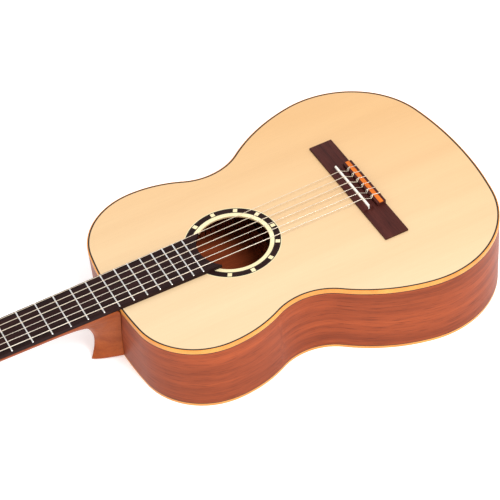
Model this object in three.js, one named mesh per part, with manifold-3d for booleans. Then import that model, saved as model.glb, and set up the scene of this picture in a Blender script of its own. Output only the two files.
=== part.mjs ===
// A full-size classical guitar, lying on its flat back with the soundboard up.
//
// Millimetres. +Z is up, +X runs from the headstock to the tail, and +Y is the treble side.
// The part's origin is the middle of the underside of its bounding box.
//
// Inside the part there are three frames:
//   body frame:  on the table, under the line where the neck meets the body (the 12th fret);
//   top frame:   on the soundboard's upper face above that line, tilted with the soundboard;
//   head frame:  on the face of the headstock, just behind the nut, leaning back from the neck.

import * as THREE from "three";
import { mergeVertices } from "three/addons/utils/BufferGeometryUtils.js";
import Module from "manifold-3d";

const wasm = await Module();
wasm.setup();

// ---------------------------------------------------------------- driving dimensions

const SCALE_LENGTH = 650; // nut to saddle, before compensation
const FRET_COUNT = 19;
const BODY_FRET = 12; // the neck meets the body at this fret
const GAP = 0.3; // glue line kept open between neighbouring pieces

// The outline of one half of the body, as arcs from the neck to the tail that meet tangentially.
// A negative sweep curves the other way, at the waist. The last arc is worked out to close it.
const BODY_FRONT_X = -1.3;
const OUTLINE_ARCS = [
  { radius: 508, sweep: 8 },
  { radius: 87, sweep: 81 },
  { radius: 144, sweep: 28 },
  { radius: 71, sweep: -66 },
  { radius: 220, sweep: 28.5 },
  { radius: 119.5, sweep: 89 },
];
const CHORD_ERROR = 0.2; // how far an outline's straight steps may lie inside its arcs

const HEEL_DEPTH = 95; // body depth at the neck
const TAIL_DEPTH = 102;
const BODY_LENGTH = 481;

const TOP_THICKNESS = 2.5;
const BACK_THICKNESS = 3;
const RIB_THICKNESS = 2.2;
const BINDING_WIDTH = 2.4;
const TOP_BINDING_HEIGHT = 5.6;
const BACK_BINDING_HEIGHT = 4;
const LINING_WIDTH = 6;
const LINING_HEIGHT = 14;
const BAR_WIDTH = 8; // the bars across the back and beside the soundhole
const BAR_END_CLEARANCE = 3;

const HOLE_X = 161; // soundhole centre, from the body joint
const HOLE_RADIUS = 45.2;
const ROSETTE_INNER = 45.2;
const ROSETTE_OUTER = 59;
const ROSETTE_DEPTH = 1;

const BOARD_THICKNESS = 5; // fingerboard
const BOARD_END_RADIUS = 43.5; // its end is hollowed round the soundhole's centre
const NUT_WIDTH = 52;
const JOINT_WIDTH = 60.4; // fingerboard width at the 12th fret
const FRET_HEIGHT = 0.9;
const FRET_WIDTH = 2;
const NUT_THICKNESS = 5;
const NUT_HEIGHT = 6.2;

const BRIDGE_LENGTH = 190;
const BRIDGE_FRONT_X = 317.3;
const BRIDGE_BACK_X = 348.4;
const WING_HEIGHT = 2.9;
const BLOCK_LENGTH = 85; // the raised middle of the bridge, across the strings
const SADDLE_X = 325.4;
const SADDLE_THICKNESS = 2.8;
const SADDLE_TOP = 10.6;
const TIE_BLOCK_TOP = 8.6;
const INLAY_X = [339.6, 345]; // the pale strip let into the tie block
const INLAY_DEPTH = 1.5;

const STRING_COUNT = 6;
const STRING_RADII = [0.36, 0.41, 0.51, 0.37, 0.44, 0.55]; // from the first string, the thinnest
const NUT_SPREAD = 43; // first string to sixth
const SADDLE_SPREAD = 58;

const HEAD_ANGLE = 15; // degrees
const HEAD_HALF_WIDTH = 36;
const HEAD_LENGTH = 190;
const HEAD_DEPTH = 20; // with its face veneer
const VENEER_THICKNESS = 2;
const SLOT_INNER_Y = 7.5;
const SLOT_OUTER_Y = 24;
const SLOT_START_X = -20;
const SLOT_END_X = -148;

const ROLLER_X = [-60, -95, -130]; // three rollers in each slot, from the nut outwards
const ROLLER_Z = -9;
const ROLLER_RADIUS = 4.5;
const AXLE_RADIUS = 2;
const AXLE_START_Y = 4; // each axle begins in the wood between the two slots
const RUNNING_GAP = 0.4; // round the axles and the worm shafts
const PLATE_THICKNESS = 1.2;
const GEAR_TEETH = 14;
const GEAR_MODULE = 0.9;
const GEAR_WIDTH = 2.6;
const GEAR_Y = 41.4; // middle plane of the gears and worms, from the head's centre line
const WORM_RADIUS = 2.6; // pitch radius
const WORM_TURNS = 2.5;
const SHAFT_RADIUS = 1.5;

const TOP_TILT = Math.atan((TAIL_DEPTH - HEEL_DEPTH) / BODY_LENGTH);
const NUT_X = -SCALE_LENGTH + SCALE_LENGTH * 2 ** (-BODY_FRET / 12);
const BOARD_TOP = GAP + BOARD_THICKNESS;

// ---------------------------------------------------------------- materials

function material(color, roughness, metalness = 0) {
  return new THREE.MeshStandardMaterial({ color, roughness, metalness });
}

const materials = {
  spruce: () => material(0xf3dcae, 0.45),
  mahogany: () => material(0x9c4f2c, 0.4),
  rosewood: () => material(0x40292a, 0.45),
  amberWood: () => material(0xe09a48, 0.4),
  paleWood: () => material(0xe2c696, 0.6),
  bone: () => material(0xf1ece0, 0.35),
  fretWire: () => material(0xd8d8dc, 0.25, 1),
  brass: () => material(0xc7a24e, 0.3, 1),
  nylon: () => material(0xe9e6e0, 0.3),
  woundString: () => material(0xb4b2b4, 0.35, 0.9),
  button: () => material(0xefe6d2, 0.3),
};

// ---------------------------------------------------------------- solids

// A closed mesh as a solid, whichever way its faces were wound.
function solid(geometry) {
  const bare = geometry.index ? geometry.toNonIndexed() : geometry.clone();
  bare.deleteAttribute("normal");
  bare.deleteAttribute("uv");
  const merged = mergeVertices(bare, 1e-3);
  const position = merged.attributes.position.array;
  const triVerts = new Uint32Array(merged.index.array);
  if (signedVolume(position, triVerts) < 0) {
    for (let i = 0; i < triVerts.length; i += 3) {
      const second = triVerts[i + 1];
      triVerts[i + 1] = triVerts[i + 2];
      triVerts[i + 2] = second;
    }
  }
  const vertProperties = new Float32Array(position);
  return new wasm.Manifold(new wasm.Mesh({ numProp: 3, vertProperties, triVerts }));
}

function signedVolume(position, triangles) {
  const [a, b, c] = [new THREE.Vector3(), new THREE.Vector3(), new THREE.Vector3()];
  let sum = 0;
  for (let i = 0; i < triangles.length; i += 3) {
    a.fromArray(position, 3 * triangles[i]);
    b.fromArray(position, 3 * triangles[i + 1]);
    c.fromArray(position, 3 * triangles[i + 2]);
    sum += a.dot(b.cross(c));
  }
  return sum;
}

function geometryOf(body) {
  const { vertProperties, triVerts } = body.getMesh();
  const geometry = new THREE.BufferGeometry();
  geometry.setAttribute("position", new THREE.BufferAttribute(vertProperties, 3));
  geometry.setIndex(new THREE.BufferAttribute(triVerts, 1));
  const flat = geometry.toNonIndexed();
  flat.computeVertexNormals();
  return flat;
}

function joined(...geometries) {
  return geometryOf(geometries.map(solid).reduce((sum, next) => sum.add(next)));
}

function cut(geometry, ...tools) {
  return geometryOf(tools.map(solid).reduce((rest, tool) => rest.subtract(tool), solid(geometry)));
}

function box(lowX, highX, lowY, highY, lowZ, highZ) {
  const geometry = new THREE.BoxGeometry(highX - lowX, highY - lowY, highZ - lowZ);
  return geometry.translate((lowX + highX) / 2, (lowY + highY) / 2, (lowZ + highZ) / 2);
}

// A flat shape in XY, from one height up to another.
function slab(shape, lowZ, highZ, curveSegments = 12) {
  const options = { depth: highZ - lowZ, bevelEnabled: false, curveSegments };
  return new THREE.ExtrudeGeometry(shape, options).translate(0, 0, lowZ);
}

// A profile drawn as [x, z] points, carried across the guitar in Y.
function acrossY(profile, lowY, highY) {
  const shape = new THREE.Shape(profile.map(([x, z]) => new THREE.Vector2(x, z)));
  const geometry = slab(shape, -highY, -lowY);
  return geometry.rotateX(Math.PI / 2);
}

// A round bar along Y or Z.
function barY(radius, x, z, lowY, highY, segments = 12) {
  const geometry = new THREE.CylinderGeometry(radius, radius, highY - lowY, segments);
  return geometry.translate(x, (lowY + highY) / 2, z);
}

function barZ(radius, x, y, lowZ, highZ, segments = 12) {
  const geometry = new THREE.CylinderGeometry(radius, radius, highZ - lowZ, segments);
  return geometry.rotateX(Math.PI / 2).translate(x, y, (lowZ + highZ) / 2);
}

// A ring of rectangular section about Z.
function washer(inner, outer, lowZ, highZ, segments) {
  const corners = [[inner, lowZ], [outer, lowZ], [outer, highZ], [inner, highZ], [inner, lowZ]];
  const profile = corners.map(([radius, z]) => new THREE.Vector2(radius, z));
  return new THREE.LatheGeometry(profile, segments).rotateX(Math.PI / 2);
}

// A closed body through a row of rings with equal numbers of points, with flat ends.
function loft(rings) {
  const size = rings[0].length;
  const positions = [];
  const triangle = (...points) => points.forEach((point) => positions.push(point.x, point.y, point.z));
  for (let r = 0; r + 1 < rings.length; r += 1) {
    for (let i = 0; i < size; i += 1) {
      const j = (i + 1) % size;
      triangle(rings[r][i], rings[r][j], rings[r + 1][j]);
      triangle(rings[r][i], rings[r + 1][j], rings[r + 1][i]);
    }
  }
  const [first, last] = [rings[0], rings[rings.length - 1]];
  for (let i = 1; i + 1 < size; i += 1) {
    triangle(first[0], first[i + 1], first[i]);
    triangle(last[0], last[i], last[i + 1]);
  }
  const geometry = new THREE.BufferGeometry();
  geometry.setAttribute("position", new THREE.Float32BufferAttribute(positions, 3));
  return geometryOf(solid(geometry));
}

// ---------------------------------------------------------------- the body's outline

// The arcs of the treble half, with their centres and angles, closed on the centre line.
function outlineArcs() {
  const arcs = [];
  const point = new THREE.Vector2(BODY_FRONT_X, 0);
  let heading = 90;
  const turned = OUTLINE_ARCS.reduce((sum, arc) => sum + arc.sweep, 0);
  const closing = 180 - turned;
  for (const arc of [...OUTLINE_ARCS, { radius: null, sweep: closing }]) {
    const radius = arc.radius ?? point.y / Math.sin(THREE.MathUtils.degToRad(closing));
    const side = Math.sign(arc.sweep);
    const toCentre = THREE.MathUtils.degToRad(heading - 90 * side);
    const centre = new THREE.Vector2(Math.cos(toCentre), Math.sin(toCentre));
    centre.multiplyScalar(radius).add(point);
    const start = toCentre + Math.PI;
    const end = start - THREE.MathUtils.degToRad(arc.sweep);
    arcs.push({ centre, radius, side, start, end });
    point.set(centre.x + radius * Math.cos(end), centre.y + radius * Math.sin(end));
    heading -= arc.sweep;
  }
  return arcs;
}

// The treble half as points from the neck to the tail, moved inwards by an inset.
function halfOutline(inset) {
  const points = [];
  for (const { centre, radius, side, start, end } of outlineArcs()) {
    const step = 2 * Math.acos(1 - CHORD_ERROR / radius);
    const count = Math.ceil(Math.abs(end - start) / step);
    const reach = radius - side * inset;
    for (let i = points.length ? 1 : 0; i <= count; i += 1) {
      const angle = start + ((end - start) * i) / count;
      const [x, y] = [centre.x + reach * Math.cos(angle), centre.y + reach * Math.sin(angle)];
      points.push(new THREE.Vector2(x, y));
    }
  }
  points[0].y = 0;
  points[points.length - 1].y = 0;
  return points;
}

function fullOutline(inset) {
  const treble = halfOutline(inset);
  const bass = treble.slice(1, -1).map(({ x, y }) => new THREE.Vector2(x, -y)).reverse();
  return [...treble, ...bass];
}

function halfWidthAt(x, inset) {
  const points = halfOutline(inset);
  const after = points.findIndex((point) => point.x > x);
  const [a, b] = [points[after - 1], points[after]];
  return THREE.MathUtils.mapLinear(x, a.x, b.x, a.y, b.y);
}

// A plate of the body's outline, and a ring along it.
function bodyPlate(inset, lowZ, highZ) {
  return slab(new THREE.Shape(fullOutline(inset)), lowZ, highZ);
}

function bodyRing(outerInset, innerInset, lowZ, highZ) {
  return cut(bodyPlate(outerInset, lowZ, highZ), bodyPlate(innerInset, lowZ - 1, highZ + 1));
}

// Height of the soundboard's upper face above the table.
function topHeight(x) {
  return HEEL_DEPTH + x * Math.tan(TOP_TILT);
}

// An upright wall whose top follows the slope of the soundboard, a little below it.
function taperedWall(shape, lowZ, belowTop) {
  const geometry = slab(shape, 0, 1);
  const position = geometry.attributes.position;
  for (let i = 0; i < position.count; i += 1) {
    const highZ = topHeight(position.getX(i)) - belowTop;
    position.setZ(i, position.getZ(i) > 0.5 ? highZ : lowZ);
  }
  return geometryOf(solid(geometry));
}

// ---------------------------------------------------------------- body pieces, body frame

function back() {
  return bodyPlate(BINDING_WIDTH + GAP, 0, BACK_THICKNESS);
}

function backBinding() {
  return bodyRing(0, BINDING_WIDTH, 0, BACK_BINDING_HEIGHT);
}

function rib(side) {
  const outer = halfOutline(0);
  const inner = halfOutline(RIB_THICKNESS).reverse();
  const loop = [...outer, ...inner].map(({ x, y }) => {
    return new THREE.Vector2(x, side * Math.max(y, GAP / 2));
  });
  return taperedWall(new THREE.Shape(loop), BACK_BINDING_HEIGHT + GAP, TOP_BINDING_HEIGHT + 2 * GAP);
}

const LINING_INSET = RIB_THICKNESS + 2 * GAP;
const LINING_REACH = LINING_INSET + LINING_WIDTH;
const NOTCH_CLEARANCE = 3;

function backLining() {
  const low = BACK_THICKNESS + GAP;
  return bodyRing(LINING_INSET, LINING_REACH, low, low + LINING_HEIGHT);
}

// A block that joins the two ribs at one end of the body. It is notched for both linings.
function endBlock(wallX, inwards, thickness, halfWidth) {
  const wallClearance = 2;
  const faceX = wallX + inwards * wallClearance;
  const notchX = wallX + inwards * (LINING_WIDTH + NOTCH_CLEARANCE);
  const innerX = wallX + inwards * thickness;
  const low = BACK_THICKNESS + GAP;
  const lowNotch = low + LINING_HEIGHT + GAP;
  const high = topHeight(Math.min(innerX, notchX)) - TOP_THICKNESS - 3 * GAP;
  const highNotch = topHeight(wallX) - TOP_THICKNESS - LINING_HEIGHT - 4 * GAP;
  const profile = [
    [notchX, low],
    [innerX, low],
    [innerX, high],
    [notchX, high],
    [notchX, highNotch],
    [faceX, highNotch],
    [faceX, lowNotch],
    [notchX, lowNotch],
  ];
  return acrossY(profile, -halfWidth, halfWidth);
}

function neckBlock() {
  return endBlock(BODY_FRONT_X + RIB_THICKNESS, 1, 40, 38);
}

function tailBlock() {
  const tail = halfOutline(RIB_THICKNESS).at(-1).x;
  return endBlock(tail, -1, 20, 32);
}

// A bar across the body, from lining to lining.
function crossBar(x, lowZ, highZ) {
  const half = BAR_WIDTH / 2;
  const reach = halfWidthAt(x, LINING_REACH) - BAR_END_CLEARANCE;
  return box(x - half, x + half, -reach, reach, lowZ, highZ);
}

function backBracing() {
  const low = BACK_THICKNESS + GAP;
  const barHeight = 13;
  const stripHalfWidth = 9;
  const stripHeight = 2.5;
  const [stripStartX, stripEndX] = [46, 448];
  const bars = [90, 225, 365].map((x) => crossBar(x, low, low + barHeight));
  const strip = box(stripStartX, stripEndX, -stripHalfWidth, stripHalfWidth, low, low + stripHeight);
  return joined(strip, ...bars);
}

// ---------------------------------------------------------------- soundboard pieces, top frame

function soundboard() {
  const plate = bodyPlate(BINDING_WIDTH + GAP, -TOP_THICKNESS, 0);
  const hole = barZ(HOLE_RADIUS, HOLE_X, 0, -TOP_THICKNESS - 1, 1, 48);
  const groove = barZ(ROSETTE_OUTER + GAP, HOLE_X, 0, -ROSETTE_DEPTH - GAP, 1, 48);
  return cut(plate, hole, groove);
}

function rosette() {
  return washer(ROSETTE_INNER, ROSETTE_OUTER, -ROSETTE_DEPTH, 0, 48).translate(HOLE_X, 0, 0);
}

function topBinding() {
  return bodyRing(0, BINDING_WIDTH, -TOP_BINDING_HEIGHT, 0);
}

function topLining() {
  const high = -TOP_THICKNESS - GAP;
  return bodyRing(LINING_INSET, LINING_REACH, high - LINING_HEIGHT, high);
}

// Two cross bars and the doubling patch that stiffen the soundboard round its hole.
function soundholeBracing() {
  const high = -TOP_THICKNESS - GAP;
  const barHeight = 14;
  const patchHalf = 61;
  const patchThickness = 2;
  const holeMargin = 3;
  const [nearX, farX] = [HOLE_X - patchHalf, HOLE_X + patchHalf];
  const bars = [nearX, farX].map((x) => crossBar(x, high - barHeight, high));
  const patch = box(nearX, farX, -patchHalf, patchHalf, high - patchThickness, high);
  const hole = barZ(HOLE_RADIUS + holeMargin, HOLE_X, 0, high - patchThickness - 1, 1, 40);
  return cut(joined(patch, ...bars), hole);
}

// Seven struts that fan out under the bridge, its patch, and the two bars that close the fan.
function fanBracing() {
  const high = -TOP_THICKNESS - GAP;
  const strutHeight = 5;
  const strutWidth = 5;
  const fanCentreX = -60;
  const startX = HOLE_X + 72;
  const strutSpacing = 19;
  const closingX = 452;
  const closingSlope = 0.42;
  const closingWidth = 6;
  const closingReach = 112;
  const [patchMargin, patchHalf, patchThickness] = [4, 92, 2.5];
  const [patchStartX, patchEndX] = [BRIDGE_FRONT_X - patchMargin, BRIDGE_BACK_X + patchMargin];
  const patch = box(patchStartX, patchEndX, -patchHalf, patchHalf, high - patchThickness, high);
  const pieces = [patch];
  for (let strut = -3; strut <= 3; strut += 1) {
    const startY = strut * strutSpacing;
    const slope = startY / (startX - fanCentreX);
    // where the strut's line meets the closing bar
    const endX = (closingX + closingSlope * Math.abs(slope) * fanCentreX)
      / (1 + closingSlope * Math.abs(slope));
    const endY = slope * (endX - fanCentreX);
    pieces.push(strip(startX, startY, endX, endY, strutWidth, high - strutHeight, high));
  }
  for (const side of [-1, 1]) {
    const [endX, endY] = [closingX - closingSlope * closingReach, side * closingReach];
    pieces.push(strip(closingX, 0, endX, endY, closingWidth, high - strutHeight, high));
  }
  return joined(...pieces);
}

// A straight bar between two points of the plan.
function strip(startX, startY, endX, endY, width, lowZ, highZ) {
  const along = new THREE.Vector2(endX - startX, endY - startY);
  const bar = box(-width / 2, along.length() + width / 2, -width / 2, width / 2, lowZ, highZ);
  return bar.rotateZ(along.angle()).translate(startX, startY, 0);
}

function bridge() {
  const wingHalf = BRIDGE_LENGTH / 2;
  const low = GAP;
  const saddleSlot = [SADDLE_X - SADDLE_THICKNESS / 2 - GAP, SADDLE_X + SADDLE_THICKNESS / 2 + GAP];
  const slotFloor = 3.6;
  const valleyX = [330.8, 336.6]; // the hollow between the saddle and the tie block
  const valleyFloor = 3.4;
  const chamfer = 0.8;
  const [saddleWallFront, saddleWallRear] = [8.2, 8.4];
  const [rampStart, rampStep] = [3.6, 2.5]; // the front slope rises from the wings
  const rampShoulder = 6;
  const inlayFloor = TIE_BLOCK_TOP - INLAY_DEPTH;
  const blockProfile = [
    [BRIDGE_FRONT_X, low],
    [BRIDGE_BACK_X, low],
    [BRIDGE_BACK_X, TIE_BLOCK_TOP - chamfer],
    [BRIDGE_BACK_X - chamfer, TIE_BLOCK_TOP],
    [INLAY_X[1] + GAP, TIE_BLOCK_TOP],
    [INLAY_X[1] + GAP, inlayFloor],
    [INLAY_X[0] - GAP, inlayFloor],
    [INLAY_X[0] - GAP, TIE_BLOCK_TOP],
    [valleyX[1], TIE_BLOCK_TOP],
    [valleyX[1], valleyFloor],
    [valleyX[0], valleyFloor],
    [valleyX[0] - 1, 8],
    [saddleSlot[1], saddleWallRear],
    [saddleSlot[1], slotFloor],
    [saddleSlot[0], slotFloor],
    [saddleSlot[0], saddleWallFront],
    [BRIDGE_FRONT_X + rampStep, rampShoulder],
    [BRIDGE_FRONT_X, rampStart],
  ];
  const block = acrossY(blockProfile, -BLOCK_LENGTH / 2, BLOCK_LENGTH / 2);
  const wings = box(BRIDGE_FRONT_X, BRIDGE_BACK_X, -wingHalf, wingHalf, low, WING_HEIGHT);
  return joined(wings, block);
}

function tieBlockInlay() {
  const half = BLOCK_LENGTH / 2;
  return box(INLAY_X[0], INLAY_X[1], -half, half, TIE_BLOCK_TOP - INLAY_DEPTH + GAP, TIE_BLOCK_TOP);
}

function saddle() {
  const half = 41;
  const [low, crown] = [3.9, 1.2];
  const crownStep = 0.7;
  const [front, rear] = [SADDLE_X - SADDLE_THICKNESS / 2, SADDLE_X + SADDLE_THICKNESS / 2];
  const profile = [
    [front, low],
    [rear, low],
    [rear, SADDLE_TOP - crown],
    [rear - crownStep, SADDLE_TOP],
    [front + crownStep, SADDLE_TOP],
    [front, SADDLE_TOP - crown],
  ];
  return acrossY(profile, -half, half);
}

// ---------------------------------------------------------------- fingerboard, nut and frets, top frame

function boardHalfWidth(x) {
  return THREE.MathUtils.mapLinear(x, NUT_X, 0, NUT_WIDTH, JOINT_WIDTH) / 2;
}

function fretX(fret) {
  return NUT_X + SCALE_LENGTH * (1 - 2 ** (-fret / 12));
}

function fingerboard() {
  const startX = NUT_X + GAP;
  const endX = HOLE_X - 20; // beyond the tips that its hollow end leaves
  const shape = new THREE.Shape();
  shape.moveTo(startX, -boardHalfWidth(startX));
  shape.lineTo(endX, -boardHalfWidth(endX));
  shape.lineTo(endX, boardHalfWidth(endX));
  shape.lineTo(startX, boardHalfWidth(startX));
  shape.closePath();
  const board = slab(shape, GAP, BOARD_TOP);
  return cut(board, barZ(BOARD_END_RADIUS, HOLE_X, 0, -1, BOARD_TOP + 1, 64));
}

// A crowned wire with rounded-off ends, resting on the fingerboard.
function fret(number) {
  const half = boardHalfWidth(fretX(number)) - GAP;
  const endSlope = 0.7;
  const glueLine = 0.05;
  const low = BOARD_TOP + glueLine;
  const section = [[-1, 0], [-0.9, 0.45], [-0.5, 0.9], [0, 1], [0.5, 0.9], [0.9, 0.45], [1, 0]];
  const ring = (side) => section.map(([across, up]) => {
    const y = side * (half - endSlope * up);
    return new THREE.Vector3((across * FRET_WIDTH) / 2, y, low + up * FRET_HEIGHT);
  });
  return loft([ring(-1), ring(1)]);
}

function nut() {
  const [rear, front] = [NUT_X - NUT_THICKNESS, NUT_X];
  const [flatLength, rearDrop] = [1.5, 1.2]; // the top is flat in front and falls to the rear
  const profile = [
    [rear, GAP],
    [front, GAP],
    [front, NUT_HEIGHT],
    [front - flatLength, NUT_HEIGHT],
    [rear, NUT_HEIGHT - rearDrop],
  ];
  return acrossY(profile, -NUT_WIDTH / 2, NUT_WIDTH / 2);
}

// ---------------------------------------------------------------- neck, top frame

// The head frame's place in the top frame.
const HEAD_PLACE = new THREE.Matrix4()
  .makeTranslation(NUT_X - NUT_THICKNESS - GAP, 0, VENEER_THICKNESS)
  .multiply(new THREE.Matrix4().makeRotationY(-THREE.MathUtils.degToRad(HEAD_ANGLE)));

function fromHead(x, z) {
  return new THREE.Vector3(x, 0, z).applyMatrix4(HEAD_PLACE);
}

// Stations along the neck. Each is a curve from an edge on one side, round a ridge
// underneath, to the edge on the other side. Along the shaft the edges run under the
// fingerboard; at the heel they run down the joint with the body.
// squareness 2 is an ellipse, more is squarer; point 1 narrows the curve to a pointed arch.
function neckStations() {
  const woodTop = -VENEER_THICKNESS - GAP;
  const [headEdge, headRidge] = [fromHead(-16, woodTop), fromHead(-16, -HEAD_DEPTH)];
  const [nutEdge, nutRidge] = [fromHead(-1, woodTop), fromHead(-2, -HEAD_DEPTH + 0.5)];
  // the front of the body stands upright, so it leans in this frame
  const jointX = (z) => BODY_FRONT_X - GAP + z * Math.tan(TOP_TILT);
  const station = (edgeX, edgeZ, halfWidth, ridgeX, ridgeZ, squareness, point) => {
    return { edgeX, edgeZ, halfWidth, ridgeX, ridgeZ, squareness, point };
  };
  return [
    station(headEdge.x, headEdge.z, NUT_WIDTH / 2, headRidge.x, headRidge.z, 7, 0),
    station(nutEdge.x, nutEdge.z, NUT_WIDTH / 2, nutRidge.x, nutRidge.z, 4, 0),
    station(-318, 0, boardHalfWidth(-318), -312, -14.8, 2.2, 0),
    station(-296, 0, boardHalfWidth(-296), -293, -14.6, 1.9, 0),
    station(-200, 0, boardHalfWidth(-200), -200, -15.2, 1.85, 0),
    station(-100, 0, boardHalfWidth(-100), -100, -16.2, 1.85, 0),
    station(-72, 0, boardHalfWidth(-72), -76, -17.4, 1.9, 0.05),
    station(-50, 0, boardHalfWidth(-50), -60, -20.4, 2, 0.12),
    station(-28, 0, boardHalfWidth(-28), -47.5, -26.4, 2.1, 0.25),
    station(-10, 0, boardHalfWidth(-10), -38.5, -34.8, 2.1, 0.4),
    station(jointX(-6), -6, 30.2, -33, -45.5, 2, 0.55),
    station(jointX(-28), -28, 25.8, -30.5, -57.5, 2, 0.75),
    station(jointX(-56), -56, 19.6, -32.4, -72, 2, 0.9),
    station(jointX(-90), -90, 15.6, -38.8, -90, 2, 1),
  ];
}

const HEEL_POINT_POWER = 0.72;

function stationRing({ edgeX, edgeZ, halfWidth, ridgeX, ridgeZ, squareness, point }) {
  const ring = [];
  const steps = 16;
  for (let i = 0; i <= steps; i += 1) {
    const angle = (Math.PI * i) / steps;
    const drop = Math.sin(angle) ** 0.9;
    const round = (1 - Math.min(drop, 1) ** squareness) ** (1 / squareness);
    const arch = (1 - Math.min(drop, 1)) ** HEEL_POINT_POWER;
    const y = halfWidth * THREE.MathUtils.lerp(round, arch, point) * Math.sign(Math.cos(angle));
    const x = THREE.MathUtils.lerp(edgeX, ridgeX, drop);
    const z = THREE.MathUtils.lerp(edgeZ, ridgeZ, drop);
    ring.push(new THREE.Vector3(x, i === steps / 2 ? 0 : y, z));
  }
  return ring;
}

// Half of the headstock's outline in the head frame, from the nut to the middle of the crown.
function headHalfShape(startX) {
  const half = new THREE.Path();
  half.moveTo(startX, NUT_WIDTH / 2);
  half.lineTo(-10, NUT_WIDTH / 2);
  half.bezierCurveTo(-18, NUT_WIDTH / 2, -22, HEAD_HALF_WIDTH - 2, -34, HEAD_HALF_WIDTH);
  half.lineTo(-168, HEAD_HALF_WIDTH);
  half.bezierCurveTo(-176, HEAD_HALF_WIDTH - 1, -177, 24, -180, 17);
  half.bezierCurveTo(-183, 10, -HEAD_LENGTH, 8, -HEAD_LENGTH, 0);
  return half.getPoints(8);
}

function headShape(startX) {
  const treble = headHalfShape(startX);
  const bass = treble.slice(0, -1).map(({ x, y }) => new THREE.Vector2(x, -y)).reverse();
  const shape = new THREE.Shape([...treble, ...bass]);
  const end = (SLOT_OUTER_Y - SLOT_INNER_Y) / 2;
  for (const side of [-1, 1]) {
    const middle = side * (SLOT_INNER_Y + end);
    const slot = new THREE.Path();
    slot.absarc(SLOT_START_X - end, middle, end, -Math.PI / 2, Math.PI / 2, false);
    slot.absarc(SLOT_END_X + end, middle, end, Math.PI / 2, (3 * Math.PI) / 2, false);
    slot.closePath();
    shape.holes.push(slot);
  }
  return shape;
}

function neck() {
  const shaft = loft(neckStations().map(stationRing));
  const head = slab(headShape(-8), -HEAD_DEPTH, -VENEER_THICKNESS - GAP, 8);
  const axleHoles = [];
  for (const side of [-1, 1]) {
    for (const x of ROLLER_X) {
      const [near, far] = [AXLE_START_Y - 2 * GAP, HEAD_HALF_WIDTH + 1];
      const [low, high] = side > 0 ? [near, far] : [-far, -near];
      axleHoles.push(barY(AXLE_RADIUS + RUNNING_GAP, x, ROLLER_Z, low, high, 10));
    }
  }
  return joined(shaft, cut(head, ...axleHoles).applyMatrix4(HEAD_PLACE));
}

// ---------------------------------------------------------------- headstock pieces, head frame

function headVeneer() {
  return slab(headShape(-GAP), -VENEER_THICKNESS, 0, 8);
}

// The plate on one side of the head, with the two lugs that carry each worm.
function tunerPlate(side) {
  const [inner, outer] = [HEAD_HALF_WIDTH + GAP, HEAD_HALF_WIDTH + GAP + PLATE_THICKNESS];
  const [low, high] = [-18.5, -1.5];
  const [startX, endX] = [ROLLER_X[0] + 21, ROLLER_X[2] - 17]; // the plate's two ends
  const plateRange = side > 0 ? [inner, outer] : [-outer, -inner];
  const bodies = [box(endX, startX, ...plateRange, low, high)];
  const tools = [];
  const lugHalf = 2.8;
  const overlap = 0.5; // of lug and plate, so that they join
  const [lugNear, lugFar] = [4.8, 7.2]; // a lug's faces, from the middle of its worm
  for (const rollerX of ROLLER_X) {
    const wormX = rollerX + WORM_OFFSET;
    const lugEnd = GEAR_Y + 3;
    const lugRange = side > 0 ? [outer - overlap, lugEnd] : [-lugEnd, overlap - outer];
    for (const lowZ of [ROLLER_Z - lugFar, ROLLER_Z + lugNear]) {
      bodies.push(box(wormX - lugHalf, wormX + lugHalf, ...lugRange, lowZ, lowZ + lugFar - lugNear));
    }
    tools.push(barZ(SHAFT_RADIUS + RUNNING_GAP, wormX, side * GEAR_Y, low - 1, high + 1, 10));
    const bore = AXLE_RADIUS + RUNNING_GAP;
    tools.push(barY(bore, rollerX, ROLLER_Z, plateRange[0] - 1, plateRange[1] + 1, 10));
  }
  return cut(joined(...bodies), ...tools);
}

const GEAR_PITCH_RADIUS = (GEAR_TEETH * GEAR_MODULE) / 2;
const WORM_OFFSET = GEAR_PITCH_RADIUS + WORM_RADIUS;
const TOOTH_PITCH = Math.PI * GEAR_MODULE;
const TOOTH_HEIGHT = 0.65; // above and below the pitch line
const TOOTH_ROOT = 0.9;
const ROOT_HALF_WIDTH = 0.62; // half of a tooth or thread, at its root and at its tip
const TIP_HALF_WIDTH = 0.27;

// A straight-cut wheel about Y. One tooth gap faces the worm on its +X side at rest.
function gearWheel(lowY, highY) {
  const points = [];
  const root = GEAR_PITCH_RADIUS - TOOTH_ROOT;
  const tip = GEAR_PITCH_RADIUS + TOOTH_HEIGHT;
  for (let tooth = 0; tooth < GEAR_TEETH; tooth += 1) {
    const middle = ((tooth + 0.5) * 2 * Math.PI) / GEAR_TEETH;
    const [rootHalf, tipHalf] = [ROOT_HALF_WIDTH / root, TIP_HALF_WIDTH / tip];
    for (const [radius, angle] of [
      [root, middle - rootHalf],
      [tip, middle - tipHalf],
      [tip, middle + tipHalf],
      [root, middle + rootHalf],
    ]) {
      points.push([radius * Math.cos(angle), radius * Math.sin(angle)]);
    }
  }
  return acrossY(points, lowY, highY);
}

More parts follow.
